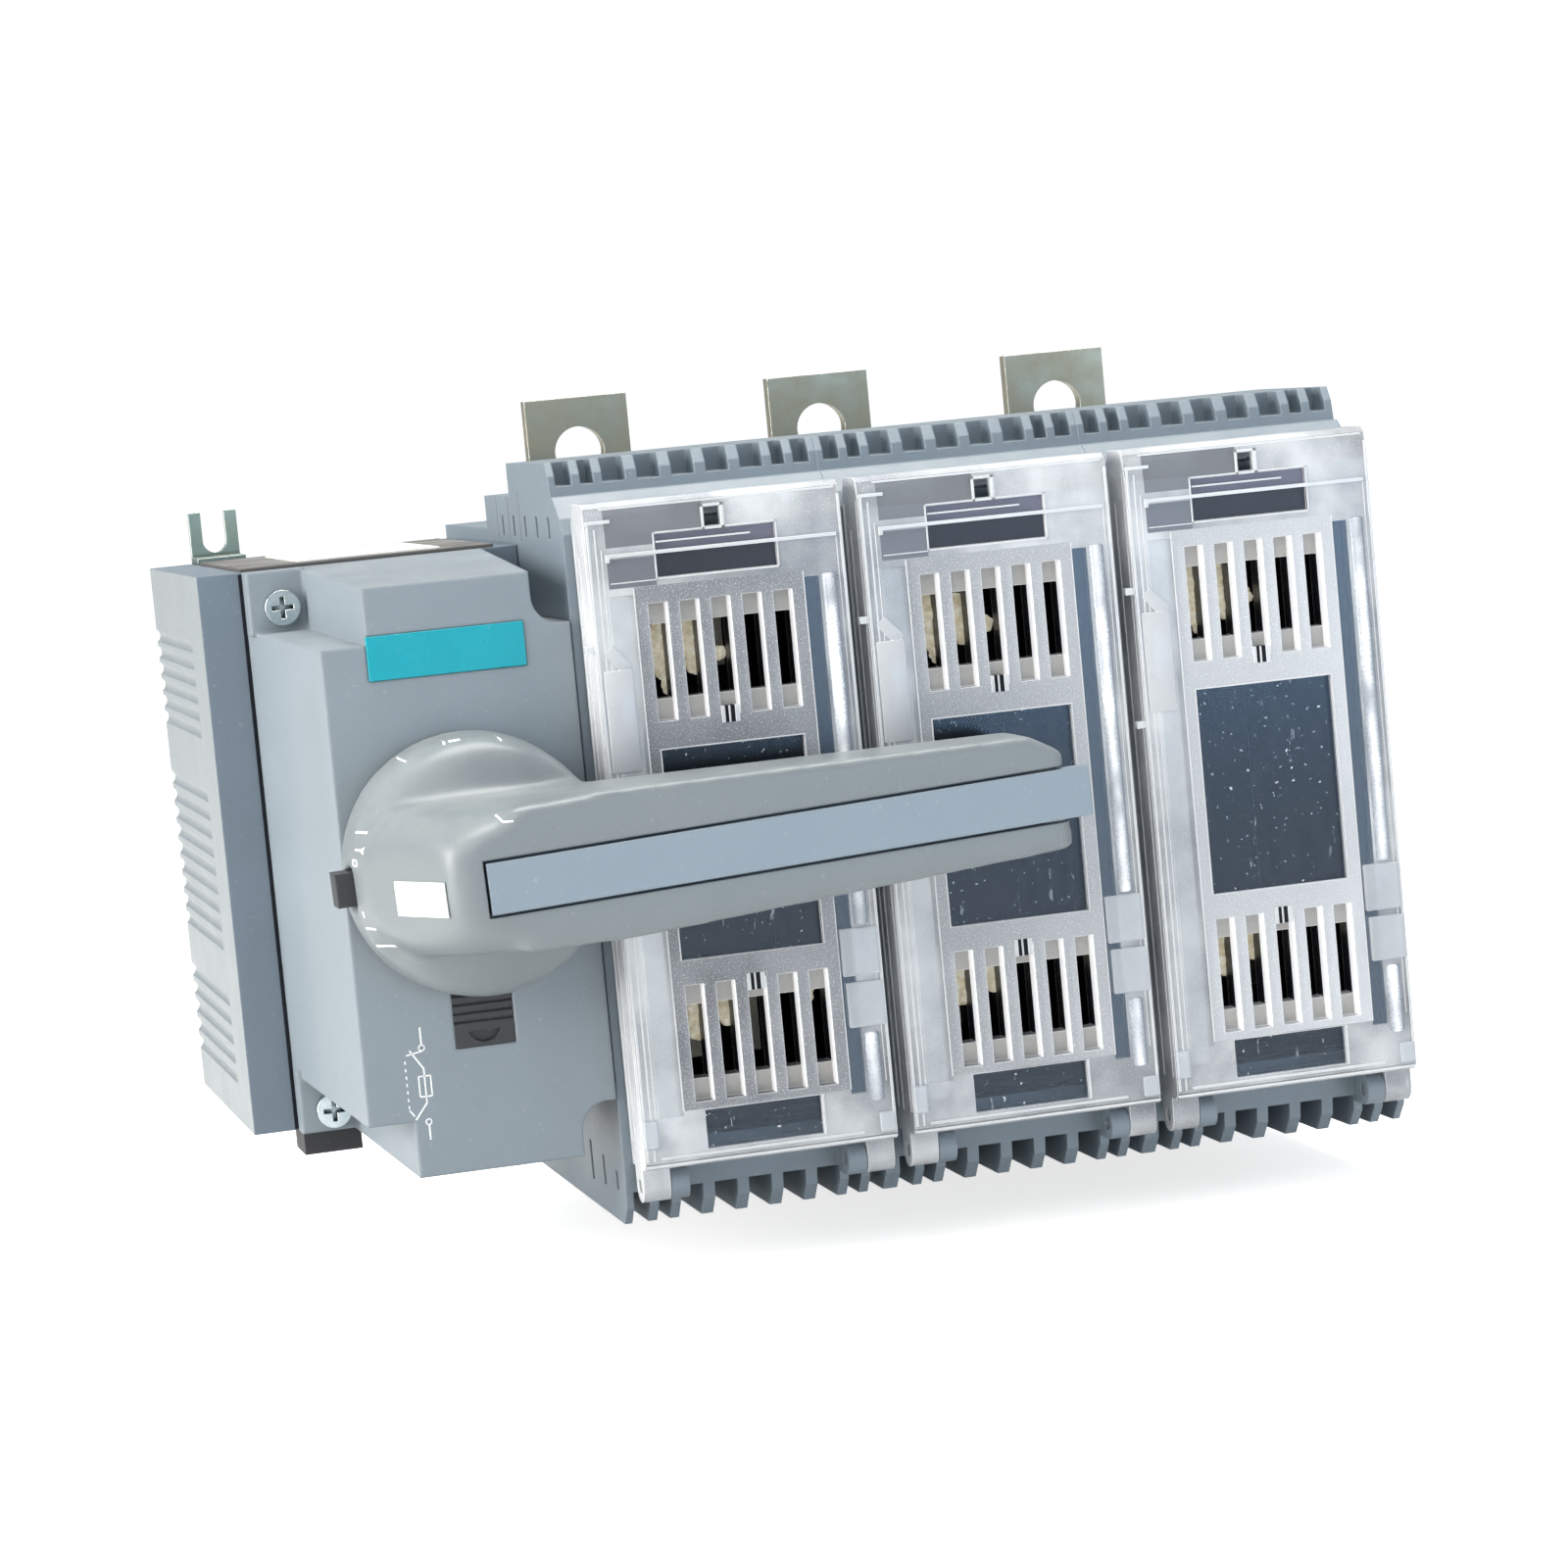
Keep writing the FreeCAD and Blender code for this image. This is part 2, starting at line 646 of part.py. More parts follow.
pocket(lid, "XZ_Plane", [[
    (corner, "box_top+1"),
    (corner, "face_top-cut_high+corner_round"),
    (corner + "+corner_round*0.293", "face_top-cut_high+corner_round*0.293",
     corner + "+corner_round", "face_top-cut_high"),
    ("lid_right+1", "face_top-cut_high"),
    ("lid_right+1", "box_top+1")], [
    (corner, "face_bottom-1"),
    (corner, "face_bottom+cut_high-corner_round"),
    (corner + "+corner_round*0.293", "face_bottom+cut_high-corner_round*0.293",
     corner + "+corner_round", "face_bottom+cut_high"),
    ("lid_right+1", "face_bottom+cut_high"),
    ("lid_right+1", "face_bottom-1")]], "box_front-1", "lid_face+1")
pocket(lid, "XZ_Plane", [rect("lid_left+13.5", "box_bottom+14", "lid_right-lid_wall-0.5", "face_top-14.5")],
       "box_front-1", "lid_face-lid_wall")
pocket(lid, "XZ_Plane", [rect("lid_left+20", "box_bottom+lid_wall", "lid_right-right_notch-lid_wall", "face_top-lid_wall")],
       "box_front-1", "lid_face-lid_wall")
pocket(lid, "XZ_Plane", [("circle", "knob_x", "mid_level", "spindle_rad+run_gap+0.02")], "box_front", "lid_face+1")
pocket(lid, "XZ_Plane", [("circle", "screw_x", "screw_top", "screw_rad+fit_gap"),
                         ("circle", "screw_x", "screw_low", "screw_rad+fit_gap")], "box_front-1", "lid_face")
pocket(lid, "XZ_Plane", [rect("plate_left-0.1", "plate_low-0.1", "plate_right+0.1", "plate_high+0.1")],
       "lid_face-0.6", "lid_face+1")
pocket(lid, "XZ_Plane", [rect("slide_left-fit_gap", "slide_low-fit_gap", "slide_right+fit_gap",
                              "slide_low+slide_high+slide_travel+fit_gap")], "lid_face-lid_wall-1", "lid_face+1")
node("mechanism_cover", lid)

plate = body("name_plate")
pad(plate, "XZ_Plane", [rect("plate_left", "plate_low", "plate_right", "plate_high")], "lid_face-0.6", "lid_face+0.3")
node("name_plate", plate)

screws = []
for z in ("screw_top", "screw_low"):
    head = rod("screw_head", "Y", "screw_head", "screw_x", z, "screw_seat", "screw_seat+2.6")
    stem = rod("screw_stem", "Y", "screw_rad", "screw_x", z, "box_front-8.5", "screw_seat+1")
    a = box("screw_cross", "screw_x-2.4", "screw_x+2.4", "screw_seat+1", "screw_seat+3", z + "-0.5", z + "+0.5")
    b = box("screw_cross", "screw_x-0.5", "screw_x+0.5", "screw_seat+1", "screw_seat+3", z + "-2.4", z + "+2.4")
    screws.append(cut("cover_screw", fuse("screw_sum", [head, stem]), [a, b]))
node("cover_screws", fuse("cover_screws", screws))

# black locking slide under the handle
slide = body("lock_slide")
pad(slide, "XZ_Plane", [rect("slide_left", "slide_low", "slide_right", "slide_low+slide_high")],
    "lid_face-lid_wall-0.6", "lid_face")
pad(slide, "XZ_Plane", [rect("slide_left-2", "slide_low-1.8", "slide_right+2", "slide_low+slide_high+2")],
    "lid_face-lid_wall-2.6", "lid_face-lid_wall-0.1")
rib = pocket(slide, "XZ_Plane", [rect("slide_left-1", "slide_low+slide_high-2.4", "slide_right+1",
                                      "slide_low+slide_high-1.9")], "lid_face-0.5", "lid_face+1")
ribs = row(slide, rib, "Z_Axis", "1.9", 4)
ribs.Reversed = True
pocket(slide, "XZ_Plane", [[("slide_left+3", "slide_low+3.4"), ("slide_left+6.5", "slide_low+0.9",
                            "slide_left+10", "slide_low+3.4")]], "lid_face-1", "lid_face+1")
node("lock_slide", slide)

# dark strip and pale card on top of the housing, black foot below it
node("top_strip", box("top_strip", "box_left+10", "box_right-5", "18", "91", "box_top", "box_top+0.8"))
node("top_card", box("top_card", "box_left+24", "box_right-16", "30", "84", "box_top+0.8", "box_top+1.1"))
node("lower_foot", box("lower_foot", "lid_left+1", "lid_left+14", "box_front-14", "box_front-0.3", "box_bottom-6", "box_bottom"))

# handle, built on its own axis and turned to the lever's rest lean
hand = body("handle_form")
turn = hand.newObject("PartDesign::Revolution", "knob")
turn.Profile = sketch(hand, "XY_Plane", [[
    ("0", "-knob_back"), ("knob_rad", "-knob_back"), ("knob_rad-0.8", "-skirt_front"),
    ("knob_rad-2.4", "-skirt_front-3.4"), ("knob_rad-5", "-skirt_front-5"),
    ("knob_rad-15", "-dome_front+2.4"), ("0", "-dome_front")]], "0")
turn.ReferenceAxis = (origin(hand, "Y_Axis"), [""])
turn.Angle = 360
nose = "-knob_rad+2"
pad(hand, "XY_Plane", [[
    ("-knob_rad+1.2", "-skirt_front+2"),
    (nose, "-skirt_front-7"),
    ("ridge_start-5.5", "-ridge_front+2.6"),
    ("ridge_start-3", "-ridge_front+0.6", "ridge_start", "-ridge_front"),
    ("lever_reach-2", "-lever_tip_front-0.2"),
    ("lever_reach", "-lever_tip_front+2.5"),
    ("lever_reach", "-lever_back"),
    ("knob_rad-5", "-lever_back"),
    ("knob_rad-5", "-skirt_front+2")]], "-ridge_half", "ridge_half")
for s in ("", "-"):
    # nose trimmed to the round of the knob
    chord = "-sqrt(knob_rad^2-ridge_half^2)"
    pocket(hand, "XZ_Plane", [[
        ("-knob_rad-1", "0"),
        ("-knob_rad-1", "%s(ridge_half+1)" % s),
        (chord, "%s(ridge_half+1)" % s),
        (chord, "%sridge_half" % s),
        ("-knob_rad*0.9613", "%sknob_rad*0.2756" % s, "-knob_rad", "0")]], "skirt_front-3", "ridge_front")
for s in ("", "-"):
    pocket(hand, "XZ_Plane", [[
        ("24", "%s(ridge_half+0.01)" % s if s else "ridge_half+0.01"),
        ("lever_reach-8", "%s(lever_half+0.3)" % s),
        ("lever_reach+1", "%s(lever_half-%s)" % (s, "5" if s == "" else "0.3")),
        ("lever_reach+1", "%s(ridge_half+2)" % s),
        ("24", "%s(ridge_half+2)" % s)]], "lever_back-3", "ridge_front+1")
slope = "(ridge_front-lever_tip_front)/(lever_reach-ridge_start)"


def bar_cut(target, half_text, near, far, left, right, kind):
    # slab following the sloping front of the lever, between two depths below it
    at = lambda x, d: (x, "-ridge_front+%s+(%s-ridge_start)*%s" % (d, x, slope))
    loop = [at(left, near), at(right, near), at(right, far), at(left, far)]
    return kind(target, "XY_Plane", [loop], "bar_drop-(%s)" % half_text, "bar_drop+(%s)" % half_text)


bar_x0 = "bar_left-bar_gap"
bar_cut(hand, "bar_half+bar_gap", "-3", "4", bar_x0, "lever_reach+1", pocket)
bar_cut(hand, "bar_half+2+bar_gap", "3", "bar_deep+0.1", bar_x0, "lever_reach+1", pocket)
pocket(hand, "XZ_Plane", [("circle", "0", "0", "spindle_rad+0.02")], "knob_back-1", "spindle_end+0.3")
pocket(hand, "XZ_Plane", [rect("-knob_rad-1", "button_mid-button_half-0.1", "-knob_rad+8.6", "button_mid+button_half+0.1")],
       "button_low-0.1", "button_high+0.1")


def ride(name, what):
    # pieces carried by the handle share its axis and rest lean
    bind(what, "Placement.Base.x", "knob_x")
    bind(what, "Placement.Base.z", "mid_level")
    what.Placement.Rotation = FreeCAD.Rotation(FreeCAD.Vector(0, -1, 0), V["lever_tilt"])
    node(name, what)


ride("handle", hand)
bar = body("padlock_bar")
bar_cut(bar, "bar_half", "-0.3", "3.6", "bar_left", "bar_right", pad)
bar_cut(bar, "bar_half+2", "3.35", "bar_deep", "bar_left", "bar_right-12", pad)
pocket(bar, "XY_Plane", [("circle", "lever_reach-6", "-lever_tip_front+3.2", "2.2")], "-bar_half-9", "bar_half+9")
ride("padlock_bar", bar)
button = body("release_button")
pad(button, "XZ_Plane", [rect("-knob_rad-2.4", "button_mid-button_half", "-knob_rad+5.6", "button_mid+button_half")],
    "button_low", "button_high")
ride("release_button", button)
card = body("index_card")
nose_slope = "(knob_rad-2+ridge_start-5.5)/(ridge_front-2.6-skirt_front-7)"


def nose_at(depth, off):
    # a point just clear of the sloping nose of the handle
    return ("-knob_rad+2+(%s-skirt_front-7)*%s-%s" % (depth, nose_slope, off), "-%s-%s*%s" % (depth, off, nose_slope))


pad(card, "XY_Plane", [[nose_at("card_back", "0.03"), nose_at("card_back", "0.33"), nose_at("card_front", "0.33"),
                        nose_at("card_front", "0.03")]], "-5.4", "1.8")
ride("index_card", card)
spindle = body("handle_spindle")
pad(spindle, "XZ_Plane", [("circle", "0", "0", "spindle_rad")], "box_wall+1.2", "spindle_end")
ride("handle_spindle", spindle)


def inv(a):
    return math.tan(a) - a


def gear(name, role, axis, teeth, lo, hi, bore):
    # spur wheel: one tooth space with involute-like arcs, repeated round the axis
    g = body(name)
    m = V["module_mm"]
    n = V[teeth]
    r = m * n / 2
    tip = r + 0.9 * m
    root = r - 1.2 * m
    slope20 = math.radians(20)
    base_r = r * math.cos(slope20)
    pad(g, role, [("circle", "0", "0", "%.6f" % tip), ("circle", "0", "0", bore)], lo, hi)

    def flank(rad, sign):
        # point on the tooth flank, straight down to the root inside the base circle
        on = max(rad, base_r)
        t = math.pi / (2 * n) + 0.14 / (2 * r) - inv(slope20) + inv(math.acos(base_r / on))
        return ("%.5f" % (rad * math.cos(t)), "%.5f" % (sign * rad * math.sin(t)))

    gap = pocket(g, role, [[flank(root, -1), flank(max(base_r, r), -1), flank(tip + 0.4, -1),
                            flank(tip + 0.4, 1), flank(max(base_r, r), 1), flank(root, 1)]], lo + "-1", hi + "+1")
    p = g.newObject("PartDesign::PolarPattern", "ring")
    p.Originals = [gap]
    p.Axis = (origin(g, axis), [""])
    p.Angle = 360
    p.Occurrences = int(n)
    g.Tip = p
    return g


wheel = gear("handle_pinion", "XZ_Plane", "Y_Axis", "teeth_knob", "guide_back-7.2", "guide_back-0.6", "spindle_rad+0.02")
bind(wheel, "Placement.Base.x", "knob_x")
bind(wheel, "Placement.Base.z", "mid_level")
node("handle_pinion", wheel)
r1 = "module_mm*teeth_knob/2"
r2 = "module_mm*teeth_shaft/2"
step = "module_mm*3.14159265"
for kind, s, lo, hi in (("upper", "+", "knob_x-17", "knob_x-9.5"), ("lower", "-", "knob_x+9.5", "knob_x+17")):
    w = gear(kind + "_shaft_pinion", "YZ_Plane", "X_Axis", "teeth_shaft", lo, hi, "shaft_rad+0.02")
    bind(w, "Placement.Base.y", "-shaft_depth")
    bind(w, "Placement.Base.z", "mid_level%sshaft_off" % s)
    node(kind + "_shaft_pinion", w)

    # rack: side teeth for the handle pinion, back teeth for the shaft pinion
    k = body(kind + "_rack")
    sx = "-" if s == "+" else "+"
    near = "knob_x%s(%s-0.9*module_mm)" % (sx, r1)
    far = "knob_x%s17" % sx

    def z(w):
        return level(s, w)

    front = "guide_back-0.1"
    rear = "shaft_depth+%s-0.9*module_mm" % r2
    pad(k, "XZ_Plane", [rect(near, z("-8"), far, z("57.5"))], rear, front)
    wt = "module_mm*0.7854+0.07+1.1*module_mm*0.36397"
    wr = "module_mm*0.7854+0.07-1.2*module_mm*0.36397"
    out = "knob_x%s(%s-1.1*module_mm)" % (sx, r1)
    dep = "knob_x%s(%s+1.2*module_mm)" % (sx, r1)
    c = "-1.5*(%s)" % step
    a = pocket(k, "XZ_Plane", [[(out, z("%s-(%s)" % (c, wt))), (out, z("%s+(%s)" % (c, wt))),
                                (dep, z("%s+(%s)" % (c, wr))), (dep, z("%s-(%s)" % (c, wr)))]],
               rear + "-1", front + "+1")
    ra = row(k, a, "Z_Axis", step, 9)
    out = "-(shaft_depth+%s-1.1*module_mm)" % r2
    dep = "-(shaft_depth+%s+1.2*module_mm)" % r2
    c = "shaft_off-1.5*(%s)" % step
    b = pocket(k, "YZ_Plane", [[(out, z("%s-(%s)" % (c, wt))), (out, z("%s+(%s)" % (c, wt))),
                                (dep, z("%s+(%s)" % (c, wr))), (dep, z("%s-(%s)" % (c, wr)))]],
               "knob_x-18", "knob_x+18")
    rb = row(k, b, "Z_Axis", step, 9)
    ra.Reversed = s == "-"
    rb.Reversed = s == "-"
    node(kind + "_rack", k)

# frame that guides both racks
frame = body("drive_frame")
pad(frame, "XZ_Plane", [rect("knob_x-22", "mid_level-52", "box_right-box_wall-0.2", "mid_level+52"),
                        ("circle", "knob_x", "mid_level", "spindle_rad+run_gap+0.02")],
    "guide_back", "guide_back+guide_thick")
pad(frame, "XZ_Plane", [rect("knob_x-20", "mid_level-40", "knob_x-17.06", "mid_level+40"),
                        rect("knob_x+17.06", "mid_level-40", "knob_x+20", "mid_level+40")],
    "guide_back-8", "guide_back+1")
node("drive_frame", frame)

# tie rods with hexagon nuts through the poles and the housing wall
def nut(at, z, thick):
    n = doc.addObject("Part::Prism", "tie_nut")
    n.Polygon = 6
    bind(n, "Circumradius", "nut_rad")
    bind(n, "Height", thick)
    n.Placement.Rotation = FreeCAD.Rotation(FreeCAD.Vector(0, 1, 0), 90)
    bind(n, "Placement.Base.x", at)
    bind(n, "Placement.Base.y", "-rod_depth")
    bind(n, "Placement.Base.z", z)
    return n


rods = []
for s in ("+", "-"):
    z = "mid_level%srod_off" % s
    stem = rod("tie_stem", "X", "rod_rad", "rod_depth", z, "box_right-box_wall-4", "pole_pitch+pole_wide/2+4.5")
    rods.append(fuse("tie_rod", [stem, nut("box_right-box_wall-nut_thick", z, "nut_thick"),
                                 nut("pole_pitch+pole_wide/2", z, "nut_thick")]))
node("pole_tie_rods", fuse("pole_tie_rods", rods))

# zinc fork plates at the four corners
for side, x, tops in (("left", "fork_x", ("box_top", "box_bottom")), ("right", "pole_pitch+20", ("body_top", "body_bottom"))):
    for end, z, s in (("top", tops[0], "+"), ("bottom", tops[1], "-")):
        f = body("fork_%s_%s" % (side, end))

        def zz(w):
            return "%s%s%s" % (z, s, w)

        pad(f, "XZ_Plane", [[
            ("%s-fork_half" % x, zz("0")), ("%s+fork_half" % x, zz("0")), ("%s+fork_half" % x, zz("fork_high")),
            ("%s+fork_slot" % x, zz("fork_high")), ("%s+fork_slot" % x, zz("(fork_high-7)")),
            (x, zz("(fork_high-7-fork_slot)"), "%s-fork_slot" % x, zz("(fork_high-7)")),
            ("%s-fork_slot" % x, zz("fork_high")), ("%s-fork_half" % x, zz("fork_high"))]], "0", "1.5")
        pad(f, "XZ_Plane", [rect("%s-fork_half" % x, zz("0"), "%s+fork_half" % x, zz("1.5"))], "0", "12")
        node("fork_%s_%s" % (side, end), f)

doc.recompute()

# nothing is written unless every object and every shape is sound
faults = [w.Name for w in doc.Objects if "Invalid" in w.State or "Error" in w.State]
faults += [name for name, what in NODES if what.Shape.isNull() or not what.Shape.isValid()]
if faults:
    raise RuntimeError("not sound: " + ", ".join(faults))
for name, what in NODES:
    shape = what.Shape
    if len(shape.Solids) == 1:
        shape = shape.Solids[0]
    shape.exportStep("parts/%s.step" % name)
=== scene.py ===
import json
import math
import random
import bpy
from mathutils import Matrix, Quaternion, Vector

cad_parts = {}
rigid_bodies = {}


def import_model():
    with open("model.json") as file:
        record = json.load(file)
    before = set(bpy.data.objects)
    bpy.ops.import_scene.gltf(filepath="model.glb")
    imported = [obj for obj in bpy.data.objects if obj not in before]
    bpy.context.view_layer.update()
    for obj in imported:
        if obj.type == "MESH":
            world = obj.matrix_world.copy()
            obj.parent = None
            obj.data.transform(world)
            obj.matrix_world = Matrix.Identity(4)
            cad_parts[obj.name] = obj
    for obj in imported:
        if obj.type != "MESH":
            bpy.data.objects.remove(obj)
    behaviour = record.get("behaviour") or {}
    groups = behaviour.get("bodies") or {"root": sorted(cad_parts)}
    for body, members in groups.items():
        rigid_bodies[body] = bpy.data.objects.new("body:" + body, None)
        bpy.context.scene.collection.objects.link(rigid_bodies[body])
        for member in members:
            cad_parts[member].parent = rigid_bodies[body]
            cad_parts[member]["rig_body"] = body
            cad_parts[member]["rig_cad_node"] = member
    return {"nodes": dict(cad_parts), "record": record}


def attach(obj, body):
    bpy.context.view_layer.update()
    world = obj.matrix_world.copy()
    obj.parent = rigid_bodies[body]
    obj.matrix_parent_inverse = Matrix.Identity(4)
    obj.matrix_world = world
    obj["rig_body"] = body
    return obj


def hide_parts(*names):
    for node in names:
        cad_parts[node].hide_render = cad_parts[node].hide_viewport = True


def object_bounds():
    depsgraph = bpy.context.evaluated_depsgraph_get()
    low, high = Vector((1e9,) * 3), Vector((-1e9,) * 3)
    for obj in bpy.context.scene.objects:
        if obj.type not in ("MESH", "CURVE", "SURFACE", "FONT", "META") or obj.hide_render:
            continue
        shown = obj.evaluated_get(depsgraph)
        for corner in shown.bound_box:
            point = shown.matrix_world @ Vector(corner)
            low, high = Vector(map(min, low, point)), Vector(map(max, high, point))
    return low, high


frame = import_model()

cad_low, cad_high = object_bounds()
nodes = frame["nodes"]

# places on the object in mm; "out" is a distance in front of the mounting panel
MM = 0.001
POLES = (1, 2, 3)
PITCH = 60                    # from the middle of one pole to the next
FACE = 160.0                  # front of the clear covers
SUNK = 0.1                    # how far a bead starts below that front
KNOB_X, KNOB_Z = -117, -1.6   # axis of the handle
LEVER_TILT = 2                # lean of the lever at rest, degrees
RAY_SAMPLES = 6               # rays per sample for soft edges and recesses

# colours of the object's finishes, linear
POLE_GREY = (0.172, 0.213, 0.249)
SIDE_GREY = (0.132, 0.172, 0.214)
COVER_GREY = (0.208, 0.246, 0.276)
HANDLE_GREY = (0.178, 0.203, 0.216)
BAR_GREY = (0.218, 0.268, 0.318)
SPECK_PALE = (0.75, 0.76, 0.76)
DUST_PALE = (0.62, 0.63, 0.62)


def srgb(r, g, b):
    # a colour given by its 8-bit screen values
    def linear(c):
        c = c / 255
        return c / 12.92 if c <= 0.04045 else ((c + 0.055) / 1.055) ** 2.4
    return (linear(r), linear(g), linear(b))


def shade(colour, factor):
    return tuple(c * factor for c in colour)


def node_group(name, inputs, outputs):
    # a group with numbers going in (label to default) and outputs (label to kind)
    g = bpy.data.node_groups.new(name, "ShaderNodeTree")
    for label, value in inputs.items():
        socket = g.interface.new_socket(label, in_out="INPUT", socket_type="NodeSocketFloat")
        socket.default_value = value
    for label, kind in outputs.items():
        g.interface.new_socket(label, in_out="OUTPUT", socket_type="NodeSocket" + kind)
    return g, g.nodes.new("NodeGroupInput"), g.nodes.new("NodeGroupOutput")


def feed(tree, socket, v):
    # a number, a colour or another node's output put into a socket
    if isinstance(v, (int, float)):
        socket.default_value = v
    elif isinstance(v, tuple):
        socket.default_value = (*v, 1)
    else:
        tree.links.new(v, socket)


def math_node(tree, op, a, b=None):
    n = tree.nodes.new("ShaderNodeMath")
    n.operation = op
    feed(tree, n.inputs[0], a)
    if b is not None:
        feed(tree, n.inputs[1], b)
    return n.outputs[0]


def times(tree, *values):
    result = values[0]
    for v in values[1:]:
        result = math_node(tree, "MULTIPLY", result, v)
    return result


def mix_colour(tree, factor, a, b):
    n = tree.nodes.new("ShaderNodeMix")
    n.data_type = "RGBA"
    for socket, v in ((n.inputs["Factor"], factor), (n.inputs[6], a), (n.inputs[7], b)):
        feed(tree, socket, v)
    return n.outputs[2]


def mix_shader(tree, factor, a, b):
    n = tree.nodes.new("ShaderNodeMixShader")
    for socket, v in zip(n.inputs, (factor, a, b)):
        tree.links.new(v, socket)
    return n.outputs[0]


def texture_space(tree, kind="Object"):
    return tree.nodes.new("ShaderNodeTexCoord").outputs[kind]


def axes(tree, vector):
    # the three components of a vector, by their letters
    n = tree.nodes.new("ShaderNodeSeparateXYZ")
    tree.links.new(vector, n.inputs[0])
    return n.outputs


def ramp(tree, value, low, high, out_low=0.0, out_high=1.0):
    n = tree.nodes.new("ShaderNodeMapRange")
    n.inputs["From Min"].default_value = low
    n.inputs["From Max"].default_value = high
    n.inputs["To Min"].default_value = out_low
    n.inputs["To Max"].default_value = out_high
    tree.links.new(value, n.inputs["Value"])
    return n.outputs[0]


def noise(tree, place, scale, detail, rough, stretch=None):
    if stretch:
        m = tree.nodes.new("ShaderNodeMapping")
        m.inputs["Scale"].default_value = stretch
        tree.links.new(place, m.inputs["Vector"])
        place = m.outputs[0]
    n = tree.nodes.new("ShaderNodeTexNoise")
    feed(tree, n.inputs["Scale"], scale)
    n.inputs["Detail"].default_value = detail
    n.inputs["Roughness"].default_value = rough
    tree.links.new(place, n.inputs["Vector"])
    return n.outputs["Fac"]


def make_rounded_edge():
    # softened edges of a moulding, and where they are
    g, gi, go = node_group("rounded_edge", {"Radius": 0.0005}, {"Normal": "Vector", "Edge": "Float"})
    bevel = g.nodes.new("ShaderNodeBevel")
    bevel.samples = RAY_SAMPLES
    g.links.new(gi.outputs["Radius"], bevel.inputs["Radius"])
    geo = g.nodes.new("ShaderNodeNewGeometry")
    dot = g.nodes.new("ShaderNodeVectorMath")
    dot.operation = "DOT_PRODUCT"
    g.links.new(bevel.outputs[0], dot.inputs[0])
    g.links.new(geo.outputs["Normal"], dot.inputs[1])
    edge = math_node(g, "SUBTRACT", 1.0, dot.outputs["Value"])
    g.links.new(ramp(g, edge, 0.0, 0.2), go.inputs["Edge"])
    g.links.new(bevel.outputs[0], go.inputs["Normal"])
    return g


def make_moulded_grain():
    # fine spark-eroded grain and slow mottling of a moulded part
    g, gi, go = node_group("moulded_grain", {"Grain Scale": 2600.0},
                           {"Height": "Float", "Mottle": "Float", "Speck": "Float"})
    place = texture_space(g)
    fine = noise(g, place, gi.outputs["Grain Scale"], 3.0, 0.6)
    slow = noise(g, place, 42.0, 4.0, 0.6)
    speck = noise(g, place, 900.0, 2.0, 0.7)
    g.links.new(fine, go.inputs["Height"])
    g.links.new(slow, go.inputs["Mottle"])
    g.links.new(ramp(g, speck, 0.66, 0.74), go.inputs["Speck"])
    return g


def make_settled_dust():
    # pale dust on faces that look up
    g, gi, go = node_group("settled_dust", {"Amount": 0.2}, {"Dust": "Float"})
    normal = g.nodes.new("ShaderNodeNewGeometry").outputs["Normal"]
    up = ramp(g, axes(g, normal)["Z"], 0.2, 1.0)
    cloud = ramp(g, noise(g, texture_space(g), 90.0, 6.0, 0.65), 0.35, 0.7)
    g.links.new(times(g, up, cloud, gi.outputs["Amount"]), go.inputs["Dust"])
    return g


ROUNDED = make_rounded_edge()
GRAIN = make_moulded_grain()
DUST = make_settled_dust()


def use_group(tree, group, **values):
    n = tree.nodes.new("ShaderNodeGroup")
    n.node_tree = group
    for k, v in values.items():
        n.inputs[k.replace("_", " ")].default_value = v
    return n.outputs


def new_material(name):
    m = bpy.data.materials.new(name)
    m.use_nodes = True
    tree = m.node_tree
    return m, tree, tree.nodes["Principled BSDF"]


def bump(tree, height, strength, distance, normal=None):
    b = tree.nodes.new("ShaderNodeBump")
    b.inputs["Strength"].default_value = strength
    b.inputs["Distance"].default_value = distance
    tree.links.new(height, b.inputs["Height"])
    if normal is not None:
        tree.links.new(normal, b.inputs["Normal"])
    return b.outputs[0]


def moulded_plastic(name, colour, rough=0.42, grain=2600.0, depth=0.00005, edge_radius=0.0005, edge_light=0.35,
                    dust=0.15, side=None):
    # matt moulding with pale worn edges and dust; side is a painted-light colour that lightens its left face, as
    # if lit from the left
    m, tree, bsdf = new_material(name)
    grain_out = use_group(tree, GRAIN, Grain_Scale=grain)
    edge_out = use_group(tree, ROUNDED, Radius=edge_radius)
    dust_out = use_group(tree, DUST, Amount=dust)
    worn = tuple(min(1, c * 1.5 + 0.06) for c in colour)
    base = mix_colour(tree, grain_out["Mottle"], shade(colour, 0.9), shade(colour, 1.1))
    if side:
        # painted light: faces looking left lightened towards the side colour
        leftward = axes(tree, texture_space(tree, "Normal"))["X"]
        base = mix_colour(tree, ramp(tree, leftward, -0.3, -0.95), base, side)
    base = mix_colour(tree, times(tree, edge_out["Edge"], edge_light), base, worn)
    base = mix_colour(tree, times(tree, grain_out["Speck"], 0.10), base, SPECK_PALE)
    base = mix_colour(tree, dust_out["Dust"], base, DUST_PALE)
    tree.links.new(base, bsdf.inputs["Base Color"])
    tree.links.new(ramp(tree, grain_out["Mottle"], 0.3, 0.7, rough - 0.06, rough + 0.08),
                   bsdf.inputs["Roughness"])
    tree.links.new(bump(tree, grain_out["Height"], 0.5, depth, edge_out["Normal"]), bsdf.inputs["Normal"])
    bsdf.inputs["Specular IOR Level"].default_value = 0.45
    return m


